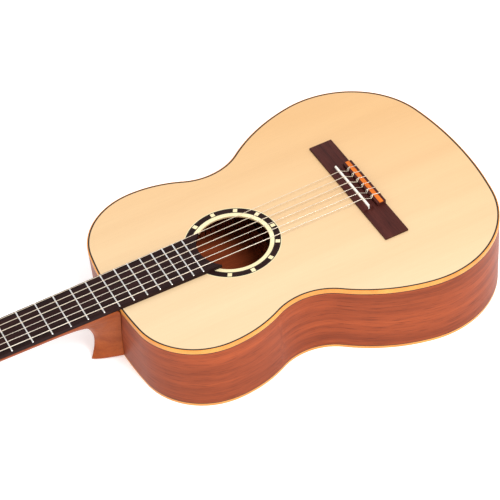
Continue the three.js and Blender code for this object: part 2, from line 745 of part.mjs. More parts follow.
// A string roller, its axle and its wheel, in one piece about the head's Y.
function roller(side) {
  const gearLow = GEAR_Y - GEAR_WIDTH / 2;
  const gearHigh = GEAR_Y + GEAR_WIDTH / 2;
  const axleEnd = gearHigh + 1.2;
  const sideClearance = 0.5;
  const [barrelLow, barrelHigh] = [SLOT_INNER_Y + sideClearance, SLOT_OUTER_Y - sideClearance];
  const steps = [
    [0, AXLE_START_Y],
    [AXLE_RADIUS, AXLE_START_Y],
    [AXLE_RADIUS, barrelLow],
    [ROLLER_RADIUS, barrelLow],
    [ROLLER_RADIUS, barrelHigh],
    [AXLE_RADIUS, barrelHigh],
    [AXLE_RADIUS, axleEnd],
    [0, axleEnd],
  ];
  const profile = steps.map(([radius, y]) => new THREE.Vector2(radius, side * y));
  const range = side > 0 ? [gearLow, gearHigh] : [-gearHigh, -gearLow];
  return joined(new THREE.LatheGeometry(profile, 10), gearWheel(...range));
}

// The helical thread of a worm about Z, right-handed, as a loft of four-sided sections.
function wormThread() {
  const perTurn = 8;
  const count = perTurn * WORM_TURNS;
  const buried = 0.5; // the thread's root lies inside the core
  const inner = WORM_RADIUS - TOOTH_ROOT - buried;
  const outer = WORM_RADIUS + TOOTH_HEIGHT;
  const rings = [];
  for (let i = 0; i <= count; i += 1) {
    const turn = i / perTurn - WORM_TURNS / 2;
    // the thread's crest passes the wheel, on the worm's -X side, in the middle of its length
    const angle = 2 * Math.PI * turn + Math.PI;
    const [x, y] = [Math.cos(angle), Math.sin(angle)];
    const z = turn * TOOTH_PITCH;
    rings.push([
      new THREE.Vector3(inner * x, inner * y, z - ROOT_HALF_WIDTH),
      new THREE.Vector3(outer * x, outer * y, z - TIP_HALF_WIDTH),
      new THREE.Vector3(outer * x, outer * y, z + TIP_HALF_WIDTH),
      new THREE.Vector3(inner * x, inner * y, z + ROOT_HALF_WIDTH),
    ]);
  }
  return loft(rings);
}

// A button with its shaft and worm. Z runs along the shaft, zero in the middle of the worm.
function tunerButton() {
  const core = WORM_RADIUS - TOOTH_ROOT;
  const coreHalf = 4.5;
  const [shaftTop, buttonMiddle] = [7, -27];
  const [collarRadius, collarLow, collarHigh] = [2.6, -20, -16];
  const gripRadii = [8, 5.6, 9];
  const shaft = barZ(SHAFT_RADIUS, 0, 0, buttonMiddle, shaftTop, 8);
  const wormCore = barZ(core, 0, 0, -coreHalf, coreHalf, 8);
  const collar = barZ(collarRadius, 0, 0, collarLow, collarHigh, 8);
  const grip = new THREE.SphereGeometry(1, 10, 6).scale(...gripRadii);
  grip.translate(0, 0, buttonMiddle);
  return joined(shaft, wormCore, wormThread(), collar, grip);
}

// ---------------------------------------------------------------- strings, top frame

// A round string through a few points, as an eight-sided body.
function stringBody(points, radius) {
  const rings = points.map((point, i) => {
    const before = points[Math.max(i - 1, 0)];
    const after = points[Math.min(i + 1, points.length - 1)];
    const along = after.clone().sub(before).normalize();
    const across = new THREE.Vector3(0, 0, 1).cross(along).normalize();
    const up = along.clone().cross(across);
    const ring = [];
    for (let corner = 0; corner < 8; corner += 1) {
      const angle = (corner * Math.PI) / 4;
      const offset = across.clone().multiplyScalar(radius * Math.cos(angle));
      offset.addScaledVector(up, radius * Math.sin(angle));
      ring.push(offset.add(point));
    }
    return ring;
  });
  return loft(rings);
}

// How far from the head's centre line a string meets its roller, from the first roller on.
const FIRST_ROLLER_Y = 21;
const ROLLER_Y_STEP = 3.5;
const TIE_HOLE = [336.2, 5.4]; // x and z of the strings' holes in the tie block

// From the tie block, over the saddle and the nut, to the top of its roller.
function string(index) {
  const radius = STRING_RADII[index];
  const place = 0.5 - index / (STRING_COUNT - 1); // +1/2 on the treble side
  const [nutY, saddleY] = [place * NUT_SPREAD, place * SADDLE_SPREAD];
  const rest = radius + GAP;
  const treble = index < STRING_COUNT / 2;
  const rollerIndex = treble ? index : STRING_COUNT - 1 - index;
  const rollerY = (treble ? 1 : -1) * (FIRST_ROLLER_Y - ROLLER_Y_STEP * rollerIndex);
  const end = new THREE.Vector3(ROLLER_X[rollerIndex], rollerY, ROLLER_Z + ROLLER_RADIUS + rest);
  const points = [
    new THREE.Vector3(TIE_HOLE[0], saddleY, TIE_HOLE[1]),
    new THREE.Vector3(SADDLE_X + 1, saddleY, SADDLE_TOP + rest - 0.2),
    new THREE.Vector3(SADDLE_X - 0.6, saddleY, SADDLE_TOP + rest),
    new THREE.Vector3(NUT_X - 0.2, nutY, NUT_HEIGHT + rest),
    new THREE.Vector3(NUT_X - 2, nutY, NUT_HEIGHT + rest),
    new THREE.Vector3(NUT_X - NUT_THICKNESS, nutY, NUT_HEIGHT + rest - 0.6),
    end.applyMatrix4(HEAD_PLACE),
  ];
  return stringBody(points, radius);
}

// ---------------------------------------------------------------- assembly

function part(name, geometry, colour) {
  const mesh = new THREE.Mesh(geometry, materials[colour]());
  mesh.name = name;
  return mesh;
}

const bodyFrame = new THREE.Group();
bodyFrame.add(
  part("back", back(), "mahogany"),
  part("back_binding", backBinding(), "amberWood"),
  part("rib_bass", rib(-1), "mahogany"),
  part("rib_treble", rib(1), "mahogany"),
  part("back_lining", backLining(), "paleWood"),
  part("neck_block", neckBlock(), "mahogany"),
  part("tail_block", tailBlock(), "mahogany"),
  part("back_bracing", backBracing(), "mahogany"),
);

const topFrame = new THREE.Group();
topFrame.position.set(0, 0, HEEL_DEPTH);
topFrame.rotation.y = -TOP_TILT;
topFrame.add(
  part("soundboard", soundboard(), "spruce"),
  part("rosette", rosette(), "rosewood"),
  part("top_binding", topBinding(), "amberWood"),
  part("top_lining", topLining(), "paleWood"),
  part("soundhole_bracing", soundholeBracing(), "paleWood"),
  part("fan_bracing", fanBracing(), "paleWood"),
  part("bridge", bridge(), "rosewood"),
  part("tie_block_inlay", tieBlockInlay(), "amberWood"),
  part("saddle", saddle(), "bone"),
  part("neck", neck(), "mahogany"),
  part("fingerboard", fingerboard(), "rosewood"),
  part("nut", nut(), "bone"),
);
bodyFrame.add(topFrame);

for (let number = 1; number <= FRET_COUNT; number += 1) {
  const wire = part(`fret_${String(number).padStart(2, "0")}`, fret(number), "fretWire");
  wire.position.x = fretX(number);
  topFrame.add(wire);
}

for (let index = 0; index < STRING_COUNT; index += 1) {
  const colour = index < STRING_COUNT / 2 ? "nylon" : "woundString";
  topFrame.add(part(`string_${index + 1}`, string(index), colour));
}

const headFrame = new THREE.Group();
HEAD_PLACE.decompose(headFrame.position, headFrame.quaternion, headFrame.scale);
headFrame.add(part("head_veneer", headVeneer(), "rosewood"));
topFrame.add(headFrame);

for (const [sideName, side] of [["treble", 1], ["bass", -1]]) {
  headFrame.add(part(`tuner_plate_${sideName}`, tunerPlate(side), "brass"));
  ROLLER_X.forEach((x, index) => {
    const wheel = part(`roller_${sideName}_${index + 1}`, roller(side), "bone");
    wheel.position.set(x, 0, ROLLER_Z);
    const knob = part(`button_${sideName}_${index + 1}`, tunerButton(), "button");
    knob.position.set(x + WORM_OFFSET, side * GEAR_Y, ROLLER_Z);
    headFrame.add(wheel, knob);
  });
}

const guitar = new THREE.Group();
guitar.add(bodyFrame);

// Move the middle of the bounding box's underside to the origin.
const bounds = new THREE.Box3().setFromObject(guitar, true);
bodyFrame.position.x = -(bounds.min.x + bounds.max.x) / 2;
bodyFrame.position.y = -(bounds.min.y + bounds.max.y) / 2;
bodyFrame.position.z = -bounds.min.z;

export default guitar;
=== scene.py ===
"""A classical guitar lying on its back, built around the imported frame.

Geometry is written in millimetres in one of three frames, which are the part's own:
  BODY: on the table, under the line where the neck meets the body;
  TOP:  on the soundboard's face above that line, tilted with the soundboard;
  HEAD: on the face of the headstock behind the nut, leaning back from the neck.
In each, +X runs from the headstock to the tail, +Y to the treble side and +Z up.
"""

import math

import bmesh
import bpy
from mathutils import Matrix, Vector
from mathutils.geometry import tessellate_polygon


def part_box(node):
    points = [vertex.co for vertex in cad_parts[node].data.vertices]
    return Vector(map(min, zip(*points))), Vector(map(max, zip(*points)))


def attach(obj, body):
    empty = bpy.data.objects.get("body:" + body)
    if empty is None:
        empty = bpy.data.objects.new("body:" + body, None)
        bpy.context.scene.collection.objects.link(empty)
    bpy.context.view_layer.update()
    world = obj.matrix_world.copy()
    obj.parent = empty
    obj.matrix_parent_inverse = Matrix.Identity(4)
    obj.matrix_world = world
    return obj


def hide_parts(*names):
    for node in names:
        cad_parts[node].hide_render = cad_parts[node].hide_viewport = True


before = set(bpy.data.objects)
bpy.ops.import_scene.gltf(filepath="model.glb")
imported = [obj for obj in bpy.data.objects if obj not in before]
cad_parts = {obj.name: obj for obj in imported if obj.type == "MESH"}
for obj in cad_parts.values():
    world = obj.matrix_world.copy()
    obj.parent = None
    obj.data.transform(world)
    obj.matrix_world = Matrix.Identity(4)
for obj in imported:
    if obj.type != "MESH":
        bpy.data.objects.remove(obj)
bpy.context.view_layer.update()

# ---------- dimensions, mm

SCALE_LENGTH = 650
BODY_FRET = 12
FRET_COUNT = 19
BODY_FRONT_X = -1.3
OUTLINE_ARCS = [(508, 8), (87, 81), (144, 28), (71, -66), (220, 28.5), (119.5, 89)]
CHORD_ERROR = 0.02
HEEL_DEPTH, TAIL_DEPTH, BODY_LENGTH = 95, 102, 481
TOP_THICKNESS = 2.5
BACK_THICKNESS = 3
RIB_THICKNESS = 2.2
BINDING_WIDTH = 2.3
TOP_BINDING_HEIGHT = 5.6
BACK_BINDING_HEIGHT = 4
LINE_HEIGHT = 1.0  # dark lines beside the bindings on the ribs; the one under the top binding is painted shade
LINE_DEPTH = 2
LINING_WIDTH, LINING_HEIGHT, LINING_BEVEL = 5.5, 14, 9
DARK_LINE = (1.2, 3.1)  # the line round the soundboard, from the edge inwards
HOLE_X, HOLE_RADIUS = 161, 45.2
ROSETTE_DEPTH = 1
BOARD_BOTTOM, BOARD_TOP = 0.05, 5.3
BOARD_END_RADIUS = 43.4  # its end is hollowed round the soundhole's centre
BOARD_TIP_X = HOLE_X - 31  # where the two tips beside the hollow take their width
NUT_WIDTH, JOINT_WIDTH = 52, 60.4
NUT_X = -SCALE_LENGTH + SCALE_LENGTH * 2 ** (-BODY_FRET / 12)
NUT_THICKNESS, NUT_HEIGHT = 5, 6.2
GAP = 0.3
FRET_HEIGHT, FRET_WIDTH = 0.95, 2.0
BRIDGE_HALF = 95
BRIDGE_FRONT_X, BRIDGE_BACK_X = 317.3, 348.4
BLOCK_HALF = 42.5
SADDLE_X, SADDLE_THICKNESS, SADDLE_TOP, SADDLE_HALF = 325.4, 2.8, 10.6, 41.2
WING_TOP = 3.0  # of the bridge, beside its raised block
TIE_BLOCK_TOP = 8.6
TIE_HOLE = (336.6, 5.3)  # x and z of the strings' holes in the tie block
INLAY_X = (339.6, 345)
STRING_RADII = [0.36, 0.41, 0.51, 0.37, 0.44, 0.55]  # the first three are plain nylon
NUT_SPREAD, SADDLE_SPREAD = 43, 58
HEAD_ANGLE = 15
HEAD_HALF_WIDTH, HEAD_LENGTH, HEAD_DEPTH, VENEER = 36, 190, 20, 2
SLOT_INNER_Y, SLOT_OUTER_Y, SLOT_START_X, SLOT_END_X = 7.5, 24, -20, -148
ROLLER_X = [-60, -95, -130]
ROLLER_Z = -9
ROLLER_RADIUS, AXLE_RADIUS = 4.5, 2
AXLE_START_Y = 4
FIRST_ROLLER_Y, ROLLER_Y_STEP = 21, 3.5  # where the strings meet the rollers
SLOT_MIDDLE_Y = (SLOT_INNER_Y + SLOT_OUTER_Y) / 2
PLATE_THICKNESS = 1.2
GEAR_TEETH, GEAR_MODULE, GEAR_WIDTH, GEAR_Y = 14, 0.9, 2.6, 41.4
GEAR_PITCH_RADIUS = GEAR_TEETH * GEAR_MODULE / 2
TOOTH_ROOT, TOOTH_HEIGHT = 0.9, 0.65  # below and above the pitch line
WORM_RADIUS, WORM_TURNS = 2.6, 2.5
WORM_OFFSET = GEAR_PITCH_RADIUS + WORM_RADIUS
SHAFT_RADIUS = 1.5
GRIP_Z = -27  # the middle of a button, from the middle of its worm
TOP_TILT = math.atan((TAIL_DEPTH - HEEL_DEPTH) / BODY_LENGTH)

# ---------- frames

MM = 0.001
QUARTER = [math.pi / 2, math.pi / 3, math.pi / 6, 0]  # steps of a rounded edge
rib_low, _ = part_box("rib_bass")
BODY = Matrix.Translation((rib_low.x - BODY_FRONT_X * MM, 0, 0)) @ Matrix.Scale(MM, 4)
TOP = BODY @ Matrix.Translation((0, 0, HEEL_DEPTH)) @ Matrix.Rotation(-TOP_TILT, 4, "Y")
HEAD_IN_TOP = (Matrix.Translation((NUT_X - NUT_THICKNESS - GAP, 0, VENEER))
               @ Matrix.Rotation(-math.radians(HEAD_ANGLE), 4, "Y"))
HEAD = TOP @ HEAD_IN_TOP

# ---------- camera, light, floor

scene = bpy.context.scene
scene.view_settings.view_transform = "Standard"

camera = bpy.data.objects.new("camera", bpy.data.cameras.new("camera"))
scene.collection.objects.link(camera)
camera.location = (-0.394, -1.4116, 1.5736)
camera.rotation_euler = [math.radians(angle) for angle in (45.415, 4.325, -27.050)]
camera.data.sensor_width = 36
camera.data.lens = 127.65
camera.data.clip_end = 100
scene.camera = camera


def area_light(name, place, target, size, power):
    data = bpy.data.lights.new(name, "AREA")
    data.shape = "DISK"
    data.size = size
    data.energy = power
    light = bpy.data.objects.new(name, data)
    light.location = place
    aim = Vector(target) - Vector(place)
    light.rotation_euler = aim.to_track_quat("-Z", "Y").to_euler()
    scene.collection.objects.link(light)


area_light("key", (0.45, -1.7, 2.5), (0.1, 0, 0.05), 0.9, 66)
area_light("front", (0.2, -2.6, 1.0), (0.15, 0, 0.05), 1.6, 8)

world = bpy.data.worlds.new("studio")
world.use_nodes = True
background = world.node_tree.nodes["Background"]
background.inputs["Color"].default_value = (1, 1, 1, 1)
background.inputs["Strength"].default_value = 0.92
scene.world = world

# ---------- material nodes


class Shader:
    """A material's node tree, with short calls for the nodes that the materials here share."""

    def __init__(self, name, **sockets):
        self.material = bpy.data.materials.new(name)
        self.material.use_nodes = True
        self.tree = self.material.node_tree
        self.main = self.tree.nodes["Principled BSDF"]
        for socket, value in sockets.items():
            self.main.inputs[socket.replace("_", " ")].default_value = value

    def node(self, kind, **settings):
        made = self.tree.nodes.new(kind)
        for key, value in settings.items():
            setattr(made, key, value)
        return made

    def link(self, start, end):
        self.tree.links.new(start, end)

    def coords(self, scale, uv=False, turn=(0, 0, 0)):
        source = self.node("ShaderNodeTexCoord").outputs["UV" if uv else "Object"]
        mapping = self.node("ShaderNodeMapping")
        mapping.inputs["Scale"].default_value = scale
        mapping.inputs["Rotation"].default_value = turn
        self.link(source, mapping.inputs["Vector"])
        return mapping.outputs["Vector"]

    def noise(self, scale, uv=False, detail=4.0, rough=0.55, bend=0.0, size=1.0):
        made = self.node("ShaderNodeTexNoise")
        made.inputs["Scale"].default_value = size
        made.inputs["Detail"].default_value = detail
        made.inputs["Roughness"].default_value = rough
        made.inputs["Distortion"].default_value = bend
        self.link(self.coords(scale, uv), made.inputs["Vector"])
        return made.outputs["Fac"]

    def ramp(self, factor, stops):
        made = self.node("ShaderNodeValToRGB")
        elements = made.color_ramp.elements
        while len(elements) < len(stops):
            elements.new(0.5)
        for element, (place, colour) in zip(elements, stops):
            element.position = place
            element.color = (*colour, 1)
        self.link(factor, made.inputs["Fac"])
        return made.outputs["Color"]

    def mix(self, factor, a, b, blend="MIX"):
        made = self.node("ShaderNodeMix", data_type="RGBA", blend_type=blend)
        for socket, value in ((made.inputs["Factor"], factor), (made.inputs["A"], a),
                              (made.inputs["B"], b)):
            if isinstance(value, bpy.types.NodeSocket):
                self.link(value, socket)
            elif isinstance(value, (int, float)):
                socket.default_value = value
            else:
                socket.default_value = (*value, 1)
        return made.outputs["Result"]

    def spread(self, factor, low, high, start=0.0, end=1.0):
        made = self.node("ShaderNodeMapRange")
        made.inputs["From Min"].default_value = start
        made.inputs["From Max"].default_value = end
        made.inputs["To Min"].default_value = low
        made.inputs["To Max"].default_value = high
        self.link(factor, made.inputs["Value"])
        return made.outputs["Result"]

    def finish(self, colour=None, rough=None, bump=None, strength=0.1, depth=0.0002):
        if colour is not None:
            self.link(colour, self.main.inputs["Base Color"])
        if rough is not None:
            self.link(rough, self.main.inputs["Roughness"])
        if bump is not None:
            made = self.node("ShaderNodeBump")
            made.inputs["Strength"].default_value = strength
            made.inputs["Distance"].default_value = depth
            self.link(bump, made.inputs["Height"])
            self.link(made.outputs["Normal"], self.main.inputs["Normal"])
        return self.material


def grey(value):
    return (value, value, value)


def spruce():
    """Pale straight-grained softwood under clear satin lacquer. The grain runs along X."""
    s = Shader("spruce", Coat_Weight=0.3, Coat_Roughness=0.22, Specular_IOR_Level=0.35)
    broad = s.noise((0.7, 22, 1), detail=3)
    base = s.ramp(broad, [(0.3, (0.66, 0.45, 0.245)), (0.7, (0.70, 0.495, 0.28))])
    # painted light falloff: paler and brighter on the near side, darker and warmer towards the far
    # side of the tail
    slope = s.node("ShaderNodeSeparateXYZ")
    s.link(s.coords((1, 1, 1), turn=(0, 0, math.radians(-68))), slope.inputs[0])
    painted_light_falloff = s.ramp(s.spread(slope.outputs["X"], 0, 1, -0.15, 0.30),
                  [(0.25, (1.03, 1.08, 1.14)), (0.95, (1.0, 0.86, 0.68))])
    rings = s.node("ShaderNodeTexWave", wave_type="BANDS", bands_direction="Y")
    rings.inputs["Scale"].default_value = 210
    rings.inputs["Distortion"].default_value = 2.2
    rings.inputs["Detail"].default_value = 2
    rings.inputs["Detail Scale"].default_value = 0.25
    s.link(s.coords((0.02, 1, 1)), rings.inputs["Vector"])
    lines = s.ramp(rings.outputs["Fac"], [(0.0, grey(1)), (0.72, grey(0.985)), (1.0, grey(0.86))])
    fibre = s.ramp(s.noise((25, 1400, 60), detail=3), [(0.3, grey(0.965)), (0.7, grey(1.02))])
    colour = s.mix(1.0, base, lines, "MULTIPLY")
    colour = s.mix(1.0, colour, fibre, "MULTIPLY")
    # the painted light falloff laid over the whole top
    colour = s.mix(1.0, colour, painted_light_falloff, "MULTIPLY")
    rough = s.spread(s.noise((25, 900, 60), detail=2), 0.36, 0.5)
    return s.finish(colour, rough, rings.outputs["Fac"], 0.05, 0.0001)


def wood(name, dark, light, streak, uv=False, broad=(5, 90, 90), fine=(45, 1500, 1500),
         pores=0.5, rough=(0.35, 0.5), bump=0.12, **sockets):
    """Two tones in long bands, with fine darker streaks of open pores along the grain."""
    s = Shader(name, **sockets)
    bands = s.noise(broad, uv, detail=5, rough=0.6, bend=0.6)
    cloud = s.noise(tuple(value * 0.25 for value in broad), uv, detail=2)
    base = s.ramp(bands, [(0.28, dark), (0.72, light)])
    base = s.mix(1.0, base, s.ramp(cloud, [(0.35, grey(0.88)), (0.65, grey(1.08))]), "MULTIPLY")
    pore = s.noise(fine, uv, detail=3, rough=0.65)
    mask = s.ramp(pore, [(0.52, grey(0)), (0.66, grey(1))])
    amount = s.mix(1.0, mask, grey(pores), "MULTIPLY")
    colour = s.mix(amount, base, streak)
    return s.finish(colour, s.spread(pore, *rough), pore, bump, 0.0003)


def metal(name, colour, rough=(0.16, 0.34)):
    """Polished metal with fine scuffs and slightly duller patches."""
    s = Shader(name, Metallic=1.0)
    scuffs = s.noise((400, 400, 80), detail=6, rough=0.7)
    patches = s.noise((60, 60, 60), detail=3)
    dull = tuple(value * 0.8 for value in colour)
    shade = s.ramp(patches, [(0.35, dull), (0.65, colour)])
    return s.finish(shade, s.spread(scuffs, *rough), scuffs, 0.03, 0.0001)


def plastic(name, dark, light, scale=(60, 60, 60), rough=(0.2, 0.34), **sockets):
    """Polished plastic or bone, with faint clouds of colour and a little handling wear."""
    s = Shader(name, **sockets)
    clouds = s.noise(scale, detail=4, bend=0.8)
    fine = s.noise((900, 900, 900), detail=3)
    shade = s.ramp(clouds, [(0.3, dark), (0.7, light)])
    return s.finish(shade, s.spread(fine, *rough), fine, 0.02, 0.0001)


def wound_string():
    """Silvered wire wound closely round the core: ridges along the string's own length."""
    s = Shader("wound_string", Metallic=1.0, Base_Color=(0.9, 0.88, 0.86, 1))
    wave = s.node("ShaderNodeTexWave", wave_type="BANDS", bands_direction="X")
    wave.inputs["Scale"].default_value = 1
    s.link(s.coords((900, 1, 1), uv=True), wave.inputs["Vector"])
    tarnish = s.noise((30, 200, 200), detail=3)
    colour = s.ramp(tarnish, [(0.3, (0.72, 0.62, 0.50)), (0.7, (0.90, 0.80, 0.67))])
    return s.finish(colour, s.spread(tarnish, 0.3, 0.42), wave.outputs["Fac"], 0.5, 0.0001)


def floor_material():
    s = Shader("floor", Specular_IOR_Level=0.1, Emission_Color=(1, 1, 1, 1),
               Emission_Strength=0.36)
    paper = s.noise((300, 300, 300), detail=4)
    shade = s.ramp(paper, [(0.3, grey(0.90)), (0.7, grey(0.93))])
    return s.finish(shade, s.spread(paper, 0.85, 0.95), paper, 0.02, 0.0002)


MAHOGANY = dict(dark=(0.19, 0.036, 0.013), light=(0.36, 0.072, 0.022),
                streak=(0.09, 0.017, 0.008))
SATIN = dict(Coat_Weight=0.03, Coat_Roughness=0.3, Specular_IOR_Level=0.1)
materials = {
    "spruce": spruce(),
    "rib_wood": wood("rib_wood", uv=True, broad=(3.5, 75, 1), fine=(30, 750, 1), pores=0.6,
                     **MAHOGANY, **SATIN),
    "back_wood": wood("back_wood", broad=(3.5, 60, 60), fine=(28, 900, 900), pores=0.42,
                      **MAHOGANY, **SATIN),
    "neck_wood": wood("neck_wood", dark=(0.25, 0.048, 0.010), light=(0.40, 0.092, 0.018),
                      streak=(0.13, 0.024, 0.008), broad=(6, 70, 70), fine=(40, 1000, 1000),
                      pores=0.4, **SATIN),
    "bare_mahogany": wood("bare_mahogany", rough=(0.6, 0.8), **MAHOGANY,
                          Specular_IOR_Level=0.2),
    "rosewood": wood("rosewood", dark=(0.008, 0.0035, 0.0035), light=(0.030, 0.011, 0.010),
                     streak=(0.004, 0.002, 0.002), broad=(10, 140, 140), fine=(60, 1800, 1800),
                     pores=0.7, rough=(0.4, 0.6), bump=0.25, Specular_IOR_Level=0.08),
    "bridge_wood": wood("bridge_wood", dark=(0.032, 0.007, 0.006), light=(0.082, 0.019, 0.014),
                        streak=(0.010, 0.003, 0.003), broad=(140, 10, 140),
                        fine=(1800, 60, 1800), pores=0.6, rough=(0.4, 0.6), bump=0.25,
                        Specular_IOR_Level=0.12),
    "amber": wood("amber", dark=(0.62, 0.22, 0.035), light=(0.74, 0.31, 0.06),
                  streak=(0.46, 0.14, 0.025), broad=(40, 40, 40), fine=(500, 500, 500),
                  pores=0.3, Coat_Weight=0.2, Coat_Roughness=0.2,
                  Specular_IOR_Level=0.25),
    "amber_inlay": wood("amber_inlay", dark=(0.52, 0.11, 0.012), light=(0.70, 0.18, 0.022),
                        streak=(0.45, 0.11, 0.03), broad=(200, 30, 200), fine=(900, 120, 900),
                        pores=0.35, Specular_IOR_Level=0.1),
    "dark_line": wood("dark_line", dark=(0.016, 0.010, 0.008), light=(0.03, 0.02, 0.016),
                      streak=(0.01, 0.007, 0.006), broad=(60, 60, 60), fine=(900, 900, 900),
                      pores=0.4, Specular_IOR_Level=0.25),
    "cream_inlay": wood("cream_inlay", dark=(0.76, 0.64, 0.36), light=(0.84, 0.74, 0.45),
                        streak=(0.62, 0.5, 0.27), broad=(60, 60, 60), fine=(900, 900, 900),
                        pores=0.3, Coat_Weight=0.4, Coat_Roughness=0.2),
    "bare_spruce": wood("bare_spruce", dark=(0.52, 0.35, 0.18), light=(0.62, 0.45, 0.25),
                        streak=(0.4, 0.25, 0.12), broad=(30, 30, 30), fine=(300, 300, 300),
                        pores=0.3, rough=(0.6, 0.8)),
    "bone": plastic("bone", (0.74, 0.70, 0.62), (0.84, 0.81, 0.75)),
    "pearl": plastic("pearl", (0.62, 0.56, 0.44), (0.84, 0.80, 0.70), scale=(260, 260, 260),
                     Coat_Weight=0.6, Coat_Roughness=0.1),
    "roller_white": plastic("roller_white", (0.70, 0.68, 0.62), (0.78, 0.76, 0.72)),
    "nylon": plastic("nylon", (0.75, 0.63, 0.47), (0.82, 0.70, 0.55), rough=(0.15, 0.25),
                     Transmission_Weight=0.35, Specular_IOR_Level=0.3),
    "wound": wound_string(),
    "fret_wire": metal("fret_wire", (0.93, 0.92, 0.90), rough=(0.14, 0.28)),
    "steel": metal("steel", (0.72, 0.71, 0.70)),
    "brass": metal("brass", (0.88, 0.66, 0.32)),
    "floor": floor_material(),
}

# ---------- mesh helpers


def piece(name, parts, place, look, body="guitar", replaces=(), sharp=35, uv=None):
    """One object from (vertices, faces) parts in mm, put in the row frame by place."""
    bm = bmesh.new()
    for verts, faces in parts:
        made = [bm.verts.new(place @ Vector(v)) for v in verts]
        for face in faces:
            corners = [made[i] for i in face]
            if len(set(corners)) > 2:
                bm.faces.new(corners)
    bmesh.ops.remove_doubles(bm, verts=bm.verts, dist=1e-7)
    bmesh.ops.recalc_face_normals(bm, faces=bm.faces)
    mesh = bpy.data.meshes.new(name)
    bm.to_mesh(mesh)
    bm.free()
    if uv is not None:
        layer = mesh.uv_layers.new(name="grain")
        for loop in mesh.loops:
            layer.data[loop.index].uv = uv(mesh.vertices[loop.vertex_index].co)
    mesh.shade_smooth()
    mesh.set_sharp_from_angle(angle=math.radians(sharp))
    mesh.materials.append(materials[look])
    made = bpy.data.objects.new(name, mesh)
    scene.collection.objects.link(made)
    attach(made, body)
    if replaces:
        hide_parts(*replaces)
    return made


def skin(rings, loop=False, caps=True):
    """Faces from ring to ring, and over both ends. loop: the last ring meets the first instead."""
    size, count = len(rings[0]), len(rings)
    verts = [point for ring in rings for point in ring]
    faces = []
    for r in range(count if loop else count - 1):
        a, b = r * size, (r + 1) % count * size
        for i in range(size):
            j = (i + 1) % size
            faces.append((a + i, a + j, b + j, b + i))
    if caps and not loop:
        faces.append(tuple(reversed(range(size))))
        faces.append(tuple(range((count - 1) * size, count * size)))
    return verts, faces


def circle(radius, count, centre=(0, 0), z=0.0):
    turns = [2 * math.pi * i / count for i in range(count)]
    return [(centre[0] + radius * math.cos(t), centre[1] + radius * math.sin(t), z) for t in turns]


def lathe(profile, count=48):
    """A body of revolution about Z from (radius, height) points, closed at both ends."""
    return skin([circle(max(radius, 1e-3), count, z=height) for radius, height in profile])


def ring_lathe(profile, count, centre):
    """A ring about Z from a closed section of (radius, height) points."""
    return skin([circle(radius, count, centre, height) for radius, height in profile], loop=True)


def signed_area(points):
    pairs = zip(points, points[1:] + points[:1])
    return sum(a[0] * b[1] - b[0] * a[1] for a, b in pairs) / 2


def offset(points, distance):
    """A closed plan outline moved inwards by a distance, or outwards if it is negative."""
    side = 1 if signed_area(points) > 0 else -1
    moved = []
    for i, point in enumerate(points):
        before, after = Vector(points[i - 1][:2]), Vector(points[(i + 1) % len(points)][:2])
        here = Vector(point[:2])
        a, b = (here - before).normalized(), (after - here).normalized()
        normal = Vector((-a.y - b.y, a.x + b.x)).normalized() * side
        stretch = 1 / max(0.35, normal.dot(Vector((-a.y, a.x)) * side))
        moved.append(tuple(here + normal * distance * stretch))
    return moved


def edge_profile(low, high, edge):
    """(inset, height) points of a wall from low to high with rounded edges."""
    if edge <= 0:
        return [(0, low), (0, high)]
    turn = [(edge * (1 - math.sin(a)), edge * (1 - math.cos(a)))
            for a in (0, math.pi / 6, math.pi / 3, math.pi / 2)]
    return [(i, low + h) for i, h in turn] + [(i, high - h) for i, h in reversed(turn)]


def flat_faces(verts, loops):
    """Triangles over a flat face, from its outer loop of vertex numbers and those of its holes."""
    flat = [[Vector((*verts[i][:2], 0)) for i in loop] for loop in loops]
    indices = [i for loop in loops for i in loop]
    return [tuple(indices[i] for i in triangle) for triangle in tessellate_polygon(flat)]


def plate(outline, low, high, edge=0.0, holes=()):
    """A flat plate with an outline, holes and rounded edges."""
    verts, faces, caps = [], [], {0: [], -1: []}
    for k, loop in enumerate([outline, *holes]):
        way = 1 if k == 0 else -1
        rings = [[(x, y, z) for x, y in offset(loop, way * inset)]
                 for inset, z in edge_profile(low, high, edge)]
        start = len(verts)
        part_verts, part_faces = skin(rings, caps=False)
        verts += part_verts
        faces += [tuple(i + start for i in face) for face in part_faces]
        size = len(loop)
        caps[0].append(range(start, start + size))
        caps[-1].append(range(start + (len(rings) - 1) * size, start + len(rings) * size))
    for loops in caps.values():
        faces += flat_faces(verts, loops)
    return verts, faces


def box(low_x, high_x, low_y, high_y, low_z, high_z, edge=0.0):
    outline = [(low_x, low_y), (high_x, low_y), (high_x, high_y), (low_x, high_y)]
    return plate(outline, low_z, high_z, edge)


def crosswise(part, side=1):
    """A part built up along Z, laid along Y instead, on the treble (1) or bass (-1) side."""
    verts, faces = part
    return [(x, side * z, y) for x, y, z in verts], faces


def spline(points, steps):
    """A smooth curve through the points."""
    vectors = [Vector(p) for p in points]
    vectors = [2 * vectors[0] - vectors[1], *vectors, 2 * vectors[-1] - vectors[-2]]
    curve = []
    for k in range(1, len(vectors) - 2):
        p0, p1, p2, p3 = vectors[k - 1:k + 3]
        for i in range(steps):
            t = i / steps
            curve.append(0.5 * (2 * p1 + (p2 - p0) * t + (2 * p0 - 5 * p1 + 4 * p2 - p3) * t * t
                                + (3 * p1 - p0 - 3 * p2 + p3) * t ** 3))
    return [*curve, vectors[-2]]


def tube(points, radius, sides=12):
    """A round cord along the points, with flat ends."""
    rings, across = [], None
    points = [Vector(p) for p in points]
    for i, point in enumerate(points):
        along = (points[min(i + 1, len(points) - 1)] - points[max(i - 1, 0)]).normalized()
        if across is None:
            across = along.orthogonal().normalized()
        across = (across - along * across.dot(along)).normalized()
        up = along.cross(across)
        turns = [2 * math.pi * k / sides for k in range(sides)]
        rings.append([tuple(point + radius * (across * math.cos(t) + up * math.sin(t)))
                      for t in turns])
    return skin(rings)


# ---------- the body's outline


